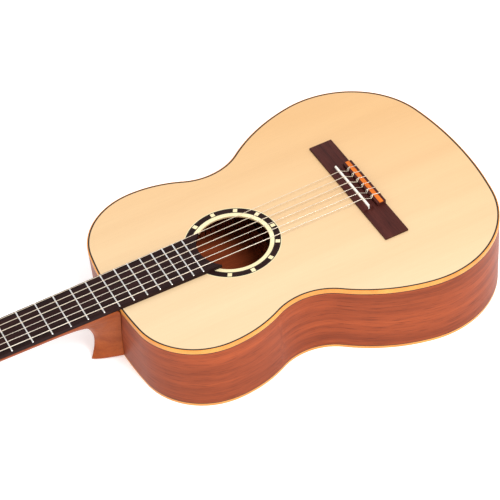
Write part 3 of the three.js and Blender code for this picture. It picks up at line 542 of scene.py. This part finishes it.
def half_outline(inset):
    """The treble half from the neck to the tail, as points moved inwards by an inset."""
    points, x, y, heading = [], BODY_FRONT_X, 0.0, 90.0
    closing = 180 - sum(sweep for _, sweep in OUTLINE_ARCS)
    for radius, sweep in [*OUTLINE_ARCS, (None, closing)]:
        radius = radius or y / math.sin(math.radians(closing))
        side = math.copysign(1, sweep)
        to_centre = math.radians(heading - 90 * side)
        cx, cy = x + radius * math.cos(to_centre), y + radius * math.sin(to_centre)
        start = to_centre + math.pi
        end = start - math.radians(sweep)
        count = math.ceil(abs(end - start) / (2 * math.acos(1 - CHORD_ERROR / radius)))
        reach = radius - side * inset
        for i in range(1 if points else 0, count + 1):
            angle = start + (end - start) * i / count
            points.append((cx + reach * math.cos(angle), cy + reach * math.sin(angle)))
        x, y = cx + radius * math.cos(end), cy + radius * math.sin(end)
        heading -= sweep
    points[0] = (points[0][0], 0.0)
    points[-1] = (points[-1][0], 0.0)
    return points


def full_outline(inset):
    treble = half_outline(inset)
    return treble + [(x, -y) for x, y in reversed(treble[1:-1])]


def arc_lengths(points):
    lengths = [0.0]
    for a, b in zip(points, points[1:]):
        lengths.append(lengths[-1] + math.dist(a, b))
    return lengths


def outline_ring(section):
    """A ring along the whole outline from a closed section of (inset, height) points."""
    return skin([[(x, y, z) for x, y in full_outline(inset)] for inset, z in section], loop=True)


def top_height(x):
    return HEEL_DEPTH + x * math.tan(TOP_TILT)


# ---------- soundboard and bindings


def soundboard():
    outer = full_outline(DARK_LINE[1])
    upper = ROSETTE[-1][0] + 0.02
    count = 160
    hole = [circle(r, count, (HOLE_X, 0), z) for r, z in
            ((upper, 0), (upper, -ROSETTE_DEPTH), (HOLE_RADIUS, -ROSETTE_DEPTH),
             (HOLE_RADIUS, -TOP_THICKNESS))]
    verts, faces = skin(hole, caps=False)
    start = len(verts)
    verts += [(x, y, 0) for x, y in outer] + [(x, y, -TOP_THICKNESS) for x, y in outer]
    size = len(outer)
    for i in range(size):
        j = (i + 1) % size
        faces.append((start + i, start + j, start + size + j, start + size + i))
    for ring_start, outer_start in ((0, start), (3 * count, start + size)):
        loops = [range(outer_start, outer_start + size), range(ring_start, ring_start + count)]
        faces += flat_faces(verts, loops)
    piece("soundboard_wood", [(verts, faces)], TOP, "spruce", replaces=["soundboard"],
          sharp=30)


# the rosette's rings from the hole outwards: (outer radius, look)
ROSETTE = [(50.4, "cream_inlay"), (51.5, "dark_line"), (57.4, "rosewood"), (58.4, "dark_line"),
           (59.3, "cream_inlay")]


def rosette():
    inner = HOLE_RADIUS
    for index, (outer, look) in enumerate(ROSETTE):
        section = [(inner, -ROSETTE_DEPTH), (outer, -ROSETTE_DEPTH), (outer, 0), (inner, 0)]
        if index == 0:
            section[3:] = [(inner + 0.25, 0), (inner, -0.25)]
        name = f"rosette_ring_{index + 1}"
        piece(name, [ring_lathe(section, 160, (HOLE_X, 0))], TOP, look,
              replaces=["rosette"] if index == 0 else ())
        inner = outer
    tiles = []
    for tile in range(12):
        turn = math.radians(30 * tile)
        verts, faces = box(51.7, 57.3, -2.6, 2.6, -0.5, 0.05, 0.1)
        turned = [(HOLE_X + x * math.cos(turn) - y * math.sin(turn),
                   x * math.sin(turn) + y * math.cos(turn), z) for x, y, z in verts]
        tiles.append((turned, faces))
    piece("rosette_tiles", tiles, TOP, "cream_inlay")


def bindings():
    low = -TOP_BINDING_HEIGHT
    round_edge = 0.5
    crown = [(round_edge * (1 - math.sin(a)), -round_edge * (1 - math.cos(a)))
             for a in QUARTER]
    groove = -1.2
    side = [*crown, (DARK_LINE[0], 0), (DARK_LINE[0], groove), (BINDING_WIDTH, groove),
            (BINDING_WIDTH, low), (0, low)]
    piece("top_binding_strip", [outline_ring(side)], TOP, "amber",
          replaces=["top_binding"], sharp=50)
    dark = [(DARK_LINE[0], 0), (DARK_LINE[1], 0), (DARK_LINE[1], groove), (DARK_LINE[0], groove)]
    piece("top_purfling", [outline_ring(dark)], TOP, "dark_line")
    # painted shade: a dark strip on the rib just under the top binding
    line = [(0.02, low), (0.02, low - LINE_HEIGHT), (LINE_DEPTH, low - LINE_HEIGHT),
            (LINE_DEPTH, low)]
    piece("top_side_painted_shade", [outline_ring(line)], TOP, "dark_line")
    foot, lip = 0.8, BACK_BINDING_HEIGHT
    section = [(foot * (1 - math.cos(a)), foot * (1 - math.sin(a)))
               for a in QUARTER]
    section += [(0, lip), (BINDING_WIDTH, lip), (BINDING_WIDTH, 0)]
    piece("back_binding_strip", [outline_ring(section)], BODY, "amber",
          replaces=["back_binding"], sharp=50)
    line = [(0.02, lip), (0.02, lip + LINE_HEIGHT), (LINE_DEPTH, lip + LINE_HEIGHT),
            (LINE_DEPTH, lip)]
    piece("back_side_line", [outline_ring(line)], BODY, "dark_line")


# ---------- ribs, back and the inside


def ribs():
    outer, inner = half_outline(0), half_outline(RIB_THICKNESS)
    lengths = arc_lengths(outer)
    low = BACK_BINDING_HEIGHT + LINE_HEIGHT
    for side, node in ((1, "rib_treble"), (-1, "rib_bass")):
        rings, along = [], {}
        for (ox, oy), (ix, iy), length in zip(outer, inner, lengths):
            high = top_height(ox) - TOP_BINDING_HEIGHT - LINE_HEIGHT
            middle = [low + (high - low) * k / 6 for k in range(7)]
            ring = [(ox, side * oy, z) for z in middle]
            ring += [(ix, side * iy, high), (ix, side * iy, low)]
            rings.append(ring)
            for x, y in ((ox, oy), (ix, iy)):
                along[(round((BODY @ Vector((x, 0, 0))).x, 6), round(y * MM, 6))] = length * MM

        def grain(co, along=along):
            key = (round(co.x, 6), round(abs(co.y), 6))
            return (along.get(key, co.x), co.z)

        piece(f"{node}_wood", [skin(rings)], BODY, "rib_wood", replaces=[node],
              uv=grain)


def back():
    outline = full_outline(BINDING_WIDTH)
    half = [point for point in outline if point[1] >= 0]
    strip = 1.6
    for side, name in ((1, "treble"), (-1, "bass")):
        points = [(x, side * max(y, strip)) for x, y in half]
        piece(f"back_{name}_wood", [plate(points, 0.02, BACK_THICKNESS)], BODY, "back_wood",
              replaces=["back"] if side > 0 else ())
    length = max(x for x, y in outline)
    piece("back_centre_strip", [box(BODY_FRONT_X + BINDING_WIDTH, length, -strip, strip, 0,
                                    BACK_THICKNESS)], BODY, "amber")


def point_along(line, lengths, distance):
    """The point of a line at a distance along it, from the distances of the line's own points."""
    i = max(n for n, value in enumerate(lengths) if value <= distance)
    i = min(i, len(line) - 2)
    share = (distance - lengths[i]) / (lengths[i + 1] - lengths[i])
    share = min(max(share, 0), 1)
    return tuple(a + (b - a) * share for a, b in zip(line[i], line[i + 1]))


def kerfed_lining(name, node, place, low, high, bevel_below):
    """A lining sawn through into little blocks, bevelled at the edge away from the plate."""
    outer, inner = half_outline(RIB_THICKNESS), half_outline(RIB_THICKNESS + LINING_WIDTH)
    lengths = arc_lengths(outer)
    pitch, kerf = 7.0, 1.3
    bevel_start = 0.35  # share of the width that stays flat
    parts = []
    for side in (-1, 1):
        for k in range(int(lengths[-1] / pitch)):
            rings = []
            for distance in (k * pitch, k * pitch + pitch - kerf):
                ox, oy = point_along(outer, lengths, distance)
                ix, iy = point_along(inner, lengths, distance)
                mx, my = ox + (ix - ox) * bevel_start, oy + (iy - oy) * bevel_start
                if bevel_below:
                    ring = [(ox, oy, low), (mx, my, low), (ix, iy, low + LINING_BEVEL),
                            (ix, iy, high), (ox, oy, high)]
                else:
                    ring = [(ox, oy, low), (ix, iy, low), (ix, iy, high - LINING_BEVEL),
                            (mx, my, high), (ox, oy, high)]
                rings.append([(x, side * y, z) for x, y, z in ring])
            parts.append(skin(rings))
    piece(name, parts, place, "bare_mahogany", replaces=[node])


# ---------- fingerboard, frets and nut


def board_half(x):
    return (NUT_WIDTH + (JOINT_WIDTH - NUT_WIDTH) * (x - NUT_X) / -NUT_X) / 2


def fret_x(number):
    return NUT_X + SCALE_LENGTH * (1 - 2 ** (-number / 12))


def fingerboard():
    start = NUT_X + 0.02
    reach = BOARD_END_RADIUS
    tip_y = board_half(BOARD_TIP_X)
    tip_angle = math.asin(tip_y / reach)
    arc = [math.pi - tip_angle + 2 * tip_angle * k / 40 for k in range(41)]
    end = [(HOLE_X + reach * math.cos(a), reach * math.sin(a)) for a in arc]
    outline = [(start, board_half(start)), (start, -board_half(start)), *reversed(end)]
    piece("fingerboard_wood", [plate(outline, BOARD_BOTTOM, BOARD_TOP, 0.45)], TOP, "rosewood",
          replaces=["fingerboard"], sharp=40)


def frets():
    crown = [(-1, -0.05), (-0.97, 0.3), (-0.78, 0.66), (-0.42, 0.92), (0, 1),
             (0.42, 0.92), (0.78, 0.66), (0.97, 0.3), (1, -0.05)]
    for number in range(1, FRET_COUNT + 1):
        x0, half = fret_x(number), board_half(fret_x(number)) - 0.15
        stations = [(-half, 0.5), (-half + 0.35, 0.86), (-half + 0.9, 1), (half - 0.9, 1),
                    (half - 0.35, 0.86), (half, 0.5)]
        rings = [[(x0 + across * FRET_WIDTH / 2 * (0.7 + 0.3 * size), y,
                   BOARD_TOP + up * FRET_HEIGHT * size) for across, up in crown]
                 for y, size in stations]
        piece(f"fret_wire_{number:02d}", [skin(rings)], TOP, "fret_wire",
              replaces=[f"fret_{number:02d}"], sharp=60)


def nut():
    rear, front = NUT_X - NUT_THICKNESS, NUT_X
    top = NUT_HEIGHT + 0.55
    profile = [(rear, GAP), (front, GAP), (front, top - 0.4), (front - 0.4, top),
               (front - 1.8, top), (rear + 0.6, top - 1.2), (rear, top - 1.8)]
    half = NUT_WIDTH / 2
    edges = [-half + 0.02, -half + 0.4, half - 0.4, half - 0.02]
    rings = []
    for y, shrink in zip(edges, (0.3, 0, 0, 0.3)):  # the upper edges are eased at both ends
        rings.append([(x, y, z - (shrink if z > 3 else 0)) for x, z in profile])
    piece("nut_bone", [skin(rings)], TOP, "bone", replaces=["nut"], sharp=40)


# ---------- bridge and saddle


def bar(profile, half, edge):
    """A closed (x, z) profile carried across the guitar, with its two ends eased."""
    return crosswise(plate(profile, -half, half, edge))


def bridge():
    low = 0.03
    # wings: flat, with eased long edges
    wing = [(BRIDGE_FRONT_X, low), (BRIDGE_BACK_X, low), (BRIDGE_BACK_X, WING_TOP - 0.4),
            (BRIDGE_BACK_X - 0.5, WING_TOP), (BRIDGE_FRONT_X + 0.5, WING_TOP),
            (BRIDGE_FRONT_X, WING_TOP - 0.4)]
    parts = [bar(wing, BRIDGE_HALF, 0.35)]
    slot = SADDLE_THICKNESS / 2 + 0.05
    ramp = [(BRIDGE_FRONT_X + 0.1, WING_TOP - 0.6), (BRIDGE_FRONT_X + 0.2, 3.4),
            (BRIDGE_FRONT_X + 2.2, 5.2), (SADDLE_X - slot - 1.0, 8.0), (SADDLE_X - slot, 8.2),
            (SADDLE_X - slot, 3.2), (SADDLE_X + slot, 3.2), (SADDLE_X + slot, 8.3),
            (SADDLE_X + slot + 1.5, 8.2), (SADDLE_X + slot + 3.2, 7.0), (331.6, 4.6),
            (332.6, WING_TOP - 0.6)]
    parts.append(bar(ramp, BLOCK_HALF, 0.3))
    piece("bridge_base", parts, TOP, "bridge_wood", replaces=["bridge"], sharp=30)
    front, back = TIE_HOLE[0], BRIDGE_BACK_X - 0.02
    floor = TIE_BLOCK_TOP - 1.2
    block = [(front, WING_TOP - 0.5), (back, WING_TOP - 0.5), (back, TIE_BLOCK_TOP - 0.5),
             (back - 0.5, TIE_BLOCK_TOP), (INLAY_X[1], TIE_BLOCK_TOP), (INLAY_X[1], floor),
             (INLAY_X[0], floor), (INLAY_X[0], TIE_BLOCK_TOP), (front + 0.5, TIE_BLOCK_TOP),
             (front, TIE_BLOCK_TOP - 0.5)]
    piece("tie_block", [bar(block, BLOCK_HALF, 0.3)], TOP, "bridge_wood",
          sharp=30)
    piece("tie_block_strip", [box(INLAY_X[0] + 0.02, INLAY_X[1] - 0.02, -BLOCK_HALF + 0.05,
                                  BLOCK_HALF - 0.05, floor + 0.05, TIE_BLOCK_TOP + 0.06, 0.15)],
          TOP, "amber_inlay", replaces=["tie_block_inlay"])
    half = SADDLE_THICKNESS / 2
    crown = [(SADDLE_X - half, 3.4), (SADDLE_X + half, 3.4), (SADDLE_X + half, SADDLE_TOP - 0.9),
             (SADDLE_X + half * 0.75, SADDLE_TOP - 0.2), (SADDLE_X + half * 0.3, SADDLE_TOP + 0.1),
             (SADDLE_X - half * 0.3, SADDLE_TOP + 0.1), (SADDLE_X - half * 0.75, SADDLE_TOP - 0.2),
             (SADDLE_X - half, SADDLE_TOP - 0.9)]
    piece("saddle_bone", [bar(crown, SADDLE_HALF, 0.5)], TOP, "bone",
          replaces=["saddle"], sharp=40)
    # painted shade: a dark disc on the tie block's front face at each string, standing in for a
    # hole that is not cut
    painted_hole_shade = []
    for index in range(6):
        y = string_y(index, SADDLE_SPREAD)
        verts, faces = lathe([(0.95, 0), (0.95, 0.12), (0.8, 0.16), (0, 0.16)], 20)
        painted_hole_shade.append(([(front - 0.02 - z, y + x, TIE_HOLE[1] + w) for x, w, z in verts], faces))
    piece("tie_hole_painted_shade", painted_hole_shade, TOP, "dark_line")


# ---------- neck and head


def from_head(x, z):
    return HEAD_IN_TOP @ Vector((x, 0, z))


def neck_stations():
    """Edge x, edge z, half width, ridge x, ridge z, squareness and pointedness, head to heel."""
    wood_top = -VENEER - GAP
    head_edge, head_ridge = from_head(-16, wood_top), from_head(-16, -HEAD_DEPTH)
    nut_edge, nut_ridge = from_head(-1, wood_top), from_head(-2, -HEAD_DEPTH + 0.5)

    def joint_x(z):
        return BODY_FRONT_X - 0.05 + z * math.tan(TOP_TILT)

    under_board = [  # edge x, then the ridge, squareness and pointedness
        (-318, -312, -14.8, 2.2, 0), (-296, -293, -14.6, 1.9, 0), (-200, -200, -15.2, 1.85, 0),
        (-100, -100, -16.2, 1.85, 0), (-72, -76, -17.4, 1.9, 0.05), (-50, -60, -20.4, 2.0, 0.12),
        (-28, -47.5, -26.4, 2.1, 0.25), (-10, -38.5, -34.8, 2.1, 0.4)]
    heel = [  # edge z, half width, then the ridge and pointedness
        (-6, 30.2, -33, -45.5, 0.55), (-28, 25.8, -30.5, -57.5, 0.75),
        (-56, 19.6, -32.4, -72, 0.9), (-91.5, 15.5, -39, -91.5, 1)]
    return [
        (head_edge.x, head_edge.z, NUT_WIDTH / 2, head_ridge.x, head_ridge.z, 7, 0),
        (nut_edge.x, nut_edge.z, NUT_WIDTH / 2, nut_ridge.x, nut_ridge.z, 4, 0),
        *[(x, 0, board_half(x), *rest) for x, *rest in under_board],
        *[(joint_x(z), z, half, ridge_x, ridge_z, 2, point)
          for z, half, ridge_x, ridge_z, point in heel],
    ]


def between(rows, steps):
    """Smooth rows between rows of numbers, without overshoot."""
    made = []
    for k in range(len(rows) - 1):
        p0, p1, p2, p3 = (rows[min(max(n, 0), len(rows) - 1)] for n in range(k - 1, k + 3))
        for i in range(steps):
            t = i / steps
            row = []
            for a, b, c, d in zip(p0, p1, p2, p3):
                m1, m2 = (c - a) / 2, (d - b) / 2
                if (b - a) * (c - b) <= 0:
                    m1 = 0
                if (c - b) * (d - c) <= 0:
                    m2 = 0
                span = abs(c - b)
                m1 = max(-2 * span, min(2 * span, m1))
                m2 = max(-2 * span, min(2 * span, m2))
                row.append((2 * t ** 3 - 3 * t * t + 1) * b + (t ** 3 - 2 * t * t + t) * m1
                           + (3 * t * t - 2 * t ** 3) * c + (t ** 3 - t * t) * m2)
            made.append(tuple(row))
    return [*made, tuple(rows[-1])]


def station_ring(edge_x, edge_z, half, ridge_x, ridge_z, square, point):
    ring, steps = [], 40
    for i in range(steps + 1):
        angle = math.pi * i / steps
        drop = min(math.sin(angle) ** 0.9, 1)
        rounded = max(0, 1 - drop ** square) ** (1 / square)
        arch = (1 - drop) ** 0.72
        y = half * (rounded + (arch - rounded) * point) * math.copysign(1, math.cos(angle))
        ring.append((edge_x + (ridge_x - edge_x) * drop, 0.0 if i == steps // 2 else y,
                     edge_z + (ridge_z - edge_z) * drop))
    return ring


def bezier(p0, p1, p2, p3, steps=10):
    made = []
    for i in range(1, steps + 1):
        t = i / steps
        weights = ((1 - t) ** 3, 3 * t * (1 - t) ** 2, 3 * t * t * (1 - t), t ** 3)
        made.append(tuple(sum(w * p[k] for w, p in zip(weights, (p0, p1, p2, p3)))
                          for k in range(2)))
    return made


def head_outline(start_x):
    nut_half, wide = NUT_WIDTH / 2, HEAD_HALF_WIDTH
    half = [(start_x, nut_half), (-10, nut_half)]
    half += bezier((-10, nut_half), (-18, nut_half), (-22, wide - 2), (-34, wide))
    half.append((-168, wide))
    half += bezier((-168, wide), (-176, wide - 1), (-177, 24), (-180, 17))
    half += bezier((-180, 17), (-183, 10), (-HEAD_LENGTH, 8), (-HEAD_LENGTH, 0))
    return half + [(x, -y) for x, y in reversed(half[:-1])]


def capsule(start_x, end_x, middle, radius, steps):
    """A long plan shape with two round ends, from start_x back to end_x."""
    points = []
    for x, turned in ((start_x - radius, -0.5), (end_x + radius, 0.5)):
        for k in range(steps + 1):
            angle = math.pi * (k / steps + turned)
            points.append((x + radius * math.cos(angle), middle + radius * math.sin(angle)))
    return points


def head_slots():
    radius = (SLOT_OUTER_Y - SLOT_INNER_Y) / 2
    return [capsule(SLOT_START_X, SLOT_END_X, side * SLOT_MIDDLE_Y, radius, 14)
            for side in (-1, 1)]


def neck():
    stations = between(neck_stations(), 6)
    shaft = skin([station_ring(*station) for station in stations])
    piece("neck_shaft", [shaft], TOP, "neck_wood", replaces=["neck"], sharp=50)
    head = plate(head_outline(-8), -HEAD_DEPTH, -VENEER, 0.8, head_slots())
    piece("head_wood", [head], HEAD, "neck_wood", sharp=40)
    veneer = plate(head_outline(-0.05), -VENEER, 0, 0.5, head_slots())
    piece("head_face", [veneer], HEAD, "rosewood", replaces=["head_veneer"], sharp=40)


# ---------- tuning machines


def tuner_plate(side_name, side):
    low, high = -18.5, -1.5
    start_x, end_x = ROLLER_X[0] + 21, ROLLER_X[2] - 17
    inner = HEAD_HALF_WIDTH + 0.02
    outer = inner + PLATE_THICKNESS
    middle = (low + high) / 2
    outline = capsule(start_x, end_x, middle, (high - low) / 2 * 0.98, 12)
    parts = [crosswise(plate(outline, inner, outer, 0.3), side)]
    for roller_x in ROLLER_X:
        worm_x = roller_x + WORM_OFFSET
        for low_z in (ROLLER_Z - 7.2, ROLLER_Z + 4.8):
            lug = [(worm_x - 2.8, outer - 0.3), (worm_x + 2.8, outer - 0.3),
                   (worm_x + 2.8, GEAR_Y)]
            lug += [(worm_x + 2.8 * math.cos(a), GEAR_Y + 2.8 * math.sin(a))
                    for a in [math.pi * k / 10 for k in range(1, 10)]]
            lug.append((worm_x - 2.8, GEAR_Y))
            verts, faces = plate(lug, low_z, low_z + 2.4, 0.25)
            parts.append(([(x, side * y, z) for x, y, z in verts], faces))
    piece(f"tuner_plate_{side_name}_brass", parts, HEAD, "brass",
          replaces=[f"tuner_plate_{side_name}"], sharp=30)
    screws = []
    head = lathe([(2.3, 0), (2.3, 0.25), (1.9, 0.62), (1.1, 0.85), (0.01, 0.9)], 28)
    slot = box(-1.7, 1.7, -0.22, 0.22, 0.5, 0.93)
    for screw_x in (start_x - 5.5, -83, -118, end_x + 5.5):
        for verts, faces in (head, slot):
            screws.append(([(x + screw_x, side * (outer - 0.1 + z), middle + y)
                            for x, y, z in verts], faces))
    piece(f"tuner_screws_{side_name}", screws, HEAD, "steel", sharp=30)


def gear(side):
    root, tip = GEAR_PITCH_RADIUS - TOOTH_ROOT, GEAR_PITCH_RADIUS + TOOTH_HEIGHT
    points = []
    for tooth in range(GEAR_TEETH):
        middle = (tooth + 0.5) * 2 * math.pi / GEAR_TEETH
        flank = [(root, 0.62), (tip - 0.2, 0.36), (tip, 0.2)]
        points += [(radius, middle - half / radius) for radius, half in flank]
        points += [(radius, middle + half / radius) for radius, half in reversed(flank)]
    outline = [(r * math.cos(a), r * math.sin(a)) for r, a in points]
    low, high = GEAR_Y - GEAR_WIDTH / 2, GEAR_Y + GEAR_WIDTH / 2
    return crosswise(plate(outline, low, high, 0.12), side)


def roller_place(index):
    return HEAD @ Matrix.Translation((ROLLER_X[index], 0, ROLLER_Z))


def roller(side_name, side, index):
    node = f"roller_{side_name}_{index + 1}"
    place = roller_place(index)
    in_y, out_y = SLOT_INNER_Y + 0.5, SLOT_OUTER_Y - 0.5
    r = ROLLER_RADIUS
    barrel = [(0, in_y), (r - 0.4, in_y), (r, in_y + 0.4), (r, out_y - 0.4), (r - 0.4, out_y),
              (0, out_y)]
    piece(f"{node}_barrel", [crosswise(lathe(barrel), side)], place, "roller_white",
          body=node, replaces=[node], sharp=40)
    end = GEAR_Y + GEAR_WIDTH / 2
    axle = [(0, AXLE_START_Y), (AXLE_RADIUS, AXLE_START_Y), (AXLE_RADIUS, end), (0, end)]
    cap = [(0, end - 0.1), (2.7, end - 0.1), (2.7, end + 0.5), (2.2, end + 1.0), (0, end + 1.15)]
    slot = box(-2.0, 2.0, -0.28, 0.28, end + 0.6, end + 1.19)
    parts = [crosswise(part, side) for part in (lathe(axle, 32), lathe(cap, 32), slot)]
    piece(f"{node}_axle", parts, place, "steel", body=node, sharp=35)
    piece(f"{node}_wheel", [gear(side)], place, "brass", body=node, sharp=25)


def worm_thread():
    per_turn, rings = 28, []
    inner, outer = WORM_RADIUS - 1.2, WORM_RADIUS + TOOTH_HEIGHT
    count = int(per_turn * WORM_TURNS)
    pitch = math.pi * GEAR_MODULE
    for i in range(count + 1):
        turn = i / per_turn - WORM_TURNS / 2
        angle = 2 * math.pi * turn + math.pi
        ease = min(1, i / 6, (count - i) / 6)  # the thread runs out at both ends
        reach = inner + (outer - inner) * (0.35 + 0.65 * ease)
        x, y, z = math.cos(angle), math.sin(angle), turn * pitch
        rings.append([(inner * x, inner * y, z - 0.62), (reach * x, reach * y, z - 0.24),
                      (reach * x, reach * y, z + 0.24), (inner * x, inner * y, z + 0.62)])
    return skin(rings)


def power(value, exponent):
    return math.copysign(abs(value) ** exponent, value)


def button_grip():
    """An oval button, squarer than an ellipsoid and dished a little on its two wide faces."""
    rings, around, rows = [], 48, 30
    for row in range(rows + 1):
        tilt = -math.pi / 2 + math.pi * row / rows
        flat = power(math.cos(tilt), 0.72)
        z = 9 * power(math.sin(tilt), 0.8)
        ring = []
        for k in range(around):
            turn = 2 * math.pi * k / around
            x = 8 * flat * power(math.cos(turn), 0.78)
            y = 5.6 * flat * power(math.sin(turn), 0.78)
            dish = 1 - 0.22 * math.exp(-(x / 4.2) ** 2 - (z / 4.6) ** 2)
            ring.append((x, y * dish, z + GRIP_Z))
        rings.append(ring)
    return skin(rings)


def tuner_button(side_name, side, index):
    node = f"button_{side_name}_{index + 1}"
    place = HEAD @ Matrix.Translation((ROLLER_X[index] + WORM_OFFSET, side * GEAR_Y, ROLLER_Z))
    core = WORM_RADIUS - TOOTH_ROOT
    shaft = [(0, GRIP_Z), (SHAFT_RADIUS, GRIP_Z), (SHAFT_RADIUS, -5), (SHAFT_RADIUS, -4.5),
             (core, -4.4), (core, 4.4), (SHAFT_RADIUS, 4.5), (SHAFT_RADIUS, 6.8), (1.2, 7.1),
             (0, 7.1)]
    collar = [(0, -19.6), (2.2, -19.6), (2.7, -19.0), (2.7, -17.4), (2.1, -16.8), (2.1, -16.2),
              (1.7, -15.6), (0, -15.6)]
    piece(f"{node}_shaft", [lathe(shaft, 28), lathe(collar, 32), worm_thread()], place, "brass",
          body=node, sharp=35)
    piece(f"{node}_grip", [button_grip()], place, "pearl",
          body=node, replaces=[node], sharp=60)


# ---------- strings


def string_y(index, spread):
    return (0.5 - index / 5) * spread


def winding(co):
    """The place of a point along the string and round it, for the look of the wire."""
    return (co.x, math.atan2(co.y, co.z))


def string_line(index, roller_index, roller_y):
    """From the tie hole over the saddle and the nut to the top of the roller."""
    radius = STRING_RADII[index]
    nut_y, y = string_y(index, NUT_SPREAD), string_y(index, SADDLE_SPREAD)
    hole_x, hole_z = TIE_HOLE
    crest = SADDLE_TOP + radius + 0.15
    bend = [(hole_x + 3, y, hole_z), (hole_x, y, hole_z + 0.1), (hole_x - 1.2, y, hole_z + 0.7),
            (SADDLE_X + 2.2, y, SADDLE_TOP - 0.7), (SADDLE_X + 0.9, y, crest - 0.1),
            (SADDLE_X - 0.4, y, crest + 0.1), (SADDLE_X - 3, y, crest + 0.07)]
    rest = NUT_HEIGHT + radius
    over_nut = [(NUT_X + 3, nut_y, rest + 0.3), (NUT_X - 0.6, nut_y, rest + 0.28),
                (NUT_X - 2.6, nut_y, rest + 0.1),
                (NUT_X - NUT_THICKNESS, nut_y + (roller_y - nut_y) * 0.04, rest - 0.9)]
    end = Vector((ROLLER_X[roller_index], roller_y, ROLLER_Z + ROLLER_RADIUS + radius))
    return spline(bend, 6) + spline(over_nut, 5) + [tuple(HEAD_IN_TOP @ end)]


def string_loop(index):
    """The loop over the tie block and the twist that holds it."""
    y, r = string_y(index, SADDLE_SPREAD), STRING_RADII[index]
    top = TIE_BLOCK_TOP + 0.15 + r
    back, (front, hole_z) = BRIDGE_BACK_X, TIE_HOLE
    loop = [(back - 3, y, hole_z), (back + r + 0.1, y, hole_z + 0.3),
            (back + r + 0.2, y + 0.2, TIE_BLOCK_TOP - 1.2), (back - 0.5, y + 0.4, top - 0.05),
            (back - 4, y + 0.8, top), (front + 4, y + 1.5, top), (front + 0.8, y + 1.8, top),
            (front - r - 0.2, y + 1.6, TIE_BLOCK_TOP - 0.9),
            (front - r - 0.6, y + 0.6, hole_z + 0.7), (front - r - 0.9, y - 0.9, hole_z + 1.4),
            (front - r - 0.5, y - 1.1, TIE_BLOCK_TOP - 1.0), (front + 0.6, y - 0.3, top + 0.1),
            (front + 2.0, y + 0.9, top + 2 * r), (front + 3.2, y + 2.4, top + r),
            (front + 4.0, y + 3.4, top - 0.1)]
    return spline(loop, 8)


def string_turns(index, roller_y):
    """The turns round the roller, and the end that goes into it."""
    radius, per_turn = STRING_RADII[index], 24
    reach = ROLLER_RADIUS + radius
    turns, pitch = 3.25, 2.15 * radius
    inwards = -1 if abs(roller_y) > SLOT_MIDDLE_Y else 1
    step = math.copysign(1, roller_y) * inwards * pitch
    coil = []
    for k in range(int(turns * per_turn) + 1):
        angle = math.pi / 2 + 2 * math.pi * k / per_turn
        coil.append((reach * math.cos(angle), roller_y + step * k / per_turn,
                     reach * math.sin(angle)))
    x, y, z = coil[-1]
    return [*coil, (x * 0.6, y + step * 0.5, z * 0.6)]


def strings():
    for index, radius in enumerate(STRING_RADII):
        treble = index < 3
        look, slot = ("nylon", "nylon") if treble else ("wound", "wound_string")
        roller_index = index if treble else 5 - index
        roller_y = (1 if treble else -1) * (FIRST_ROLLER_Y - ROLLER_Y_STEP * roller_index)
        node = f"roller_{'treble' if treble else 'bass'}_{roller_index + 1}"
        place = roller_place(roller_index)
        name = f"string_{index + 1}"
        line = tube(string_line(index, roller_index, roller_y), radius)
        piece(f"{name}_line", [line], TOP, look, replaces=[name], sharp=80, uv=winding)
        loop = tube(string_loop(index), radius, 10)
        piece(f"{name}_loop", [loop], TOP, look, sharp=80, uv=winding)
        turns = tube(string_turns(index, roller_y), radius, 10)
        piece(f"{name}_turns", [turns], place, look, body=node, sharp=80, uv=winding)


# ---------- all together

soundboard()
rosette()
bindings()
ribs()
back()
kerfed_lining("top_lining_blocks", "top_lining", TOP, -TOP_THICKNESS - LINING_HEIGHT,
              -TOP_THICKNESS, True)
kerfed_lining("back_lining_blocks", "back_lining", BODY, BACK_THICKNESS,
              BACK_THICKNESS + LINING_HEIGHT, False)
fingerboard()
frets()
nut()
bridge()
neck()
for side_name, side in (("treble", 1), ("bass", -1)):
    tuner_plate(side_name, side)
    for index in range(3):
        roller(side_name, side, index)
        tuner_button(side_name, side, index)
strings()

INSIDE = {"neck_block": "bare_mahogany", "tail_block": "bare_mahogany",
          "back_bracing": "bare_mahogany", "soundhole_bracing": "bare_spruce",
          "fan_bracing": "bare_spruce"}
for node, look in INSIDE.items():
    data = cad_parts[node].data
    data.materials.clear()
    data.materials.append(materials[look])

FLOOR_HALF, FLOOR_Z = 30.0, -0.0002  # metres
mesh = bpy.data.meshes.new("floor")
corners = [(-1, -1), (1, -1), (1, 1), (-1, 1)]
mesh.from_pydata([(x * FLOOR_HALF, y * FLOOR_HALF, FLOOR_Z) for x, y in corners], [],
                 [(0, 1, 2, 3)])
mesh.materials.append(materials["floor"])
floor = bpy.data.objects.new("floor", mesh)
scene.collection.objects.link(floor)
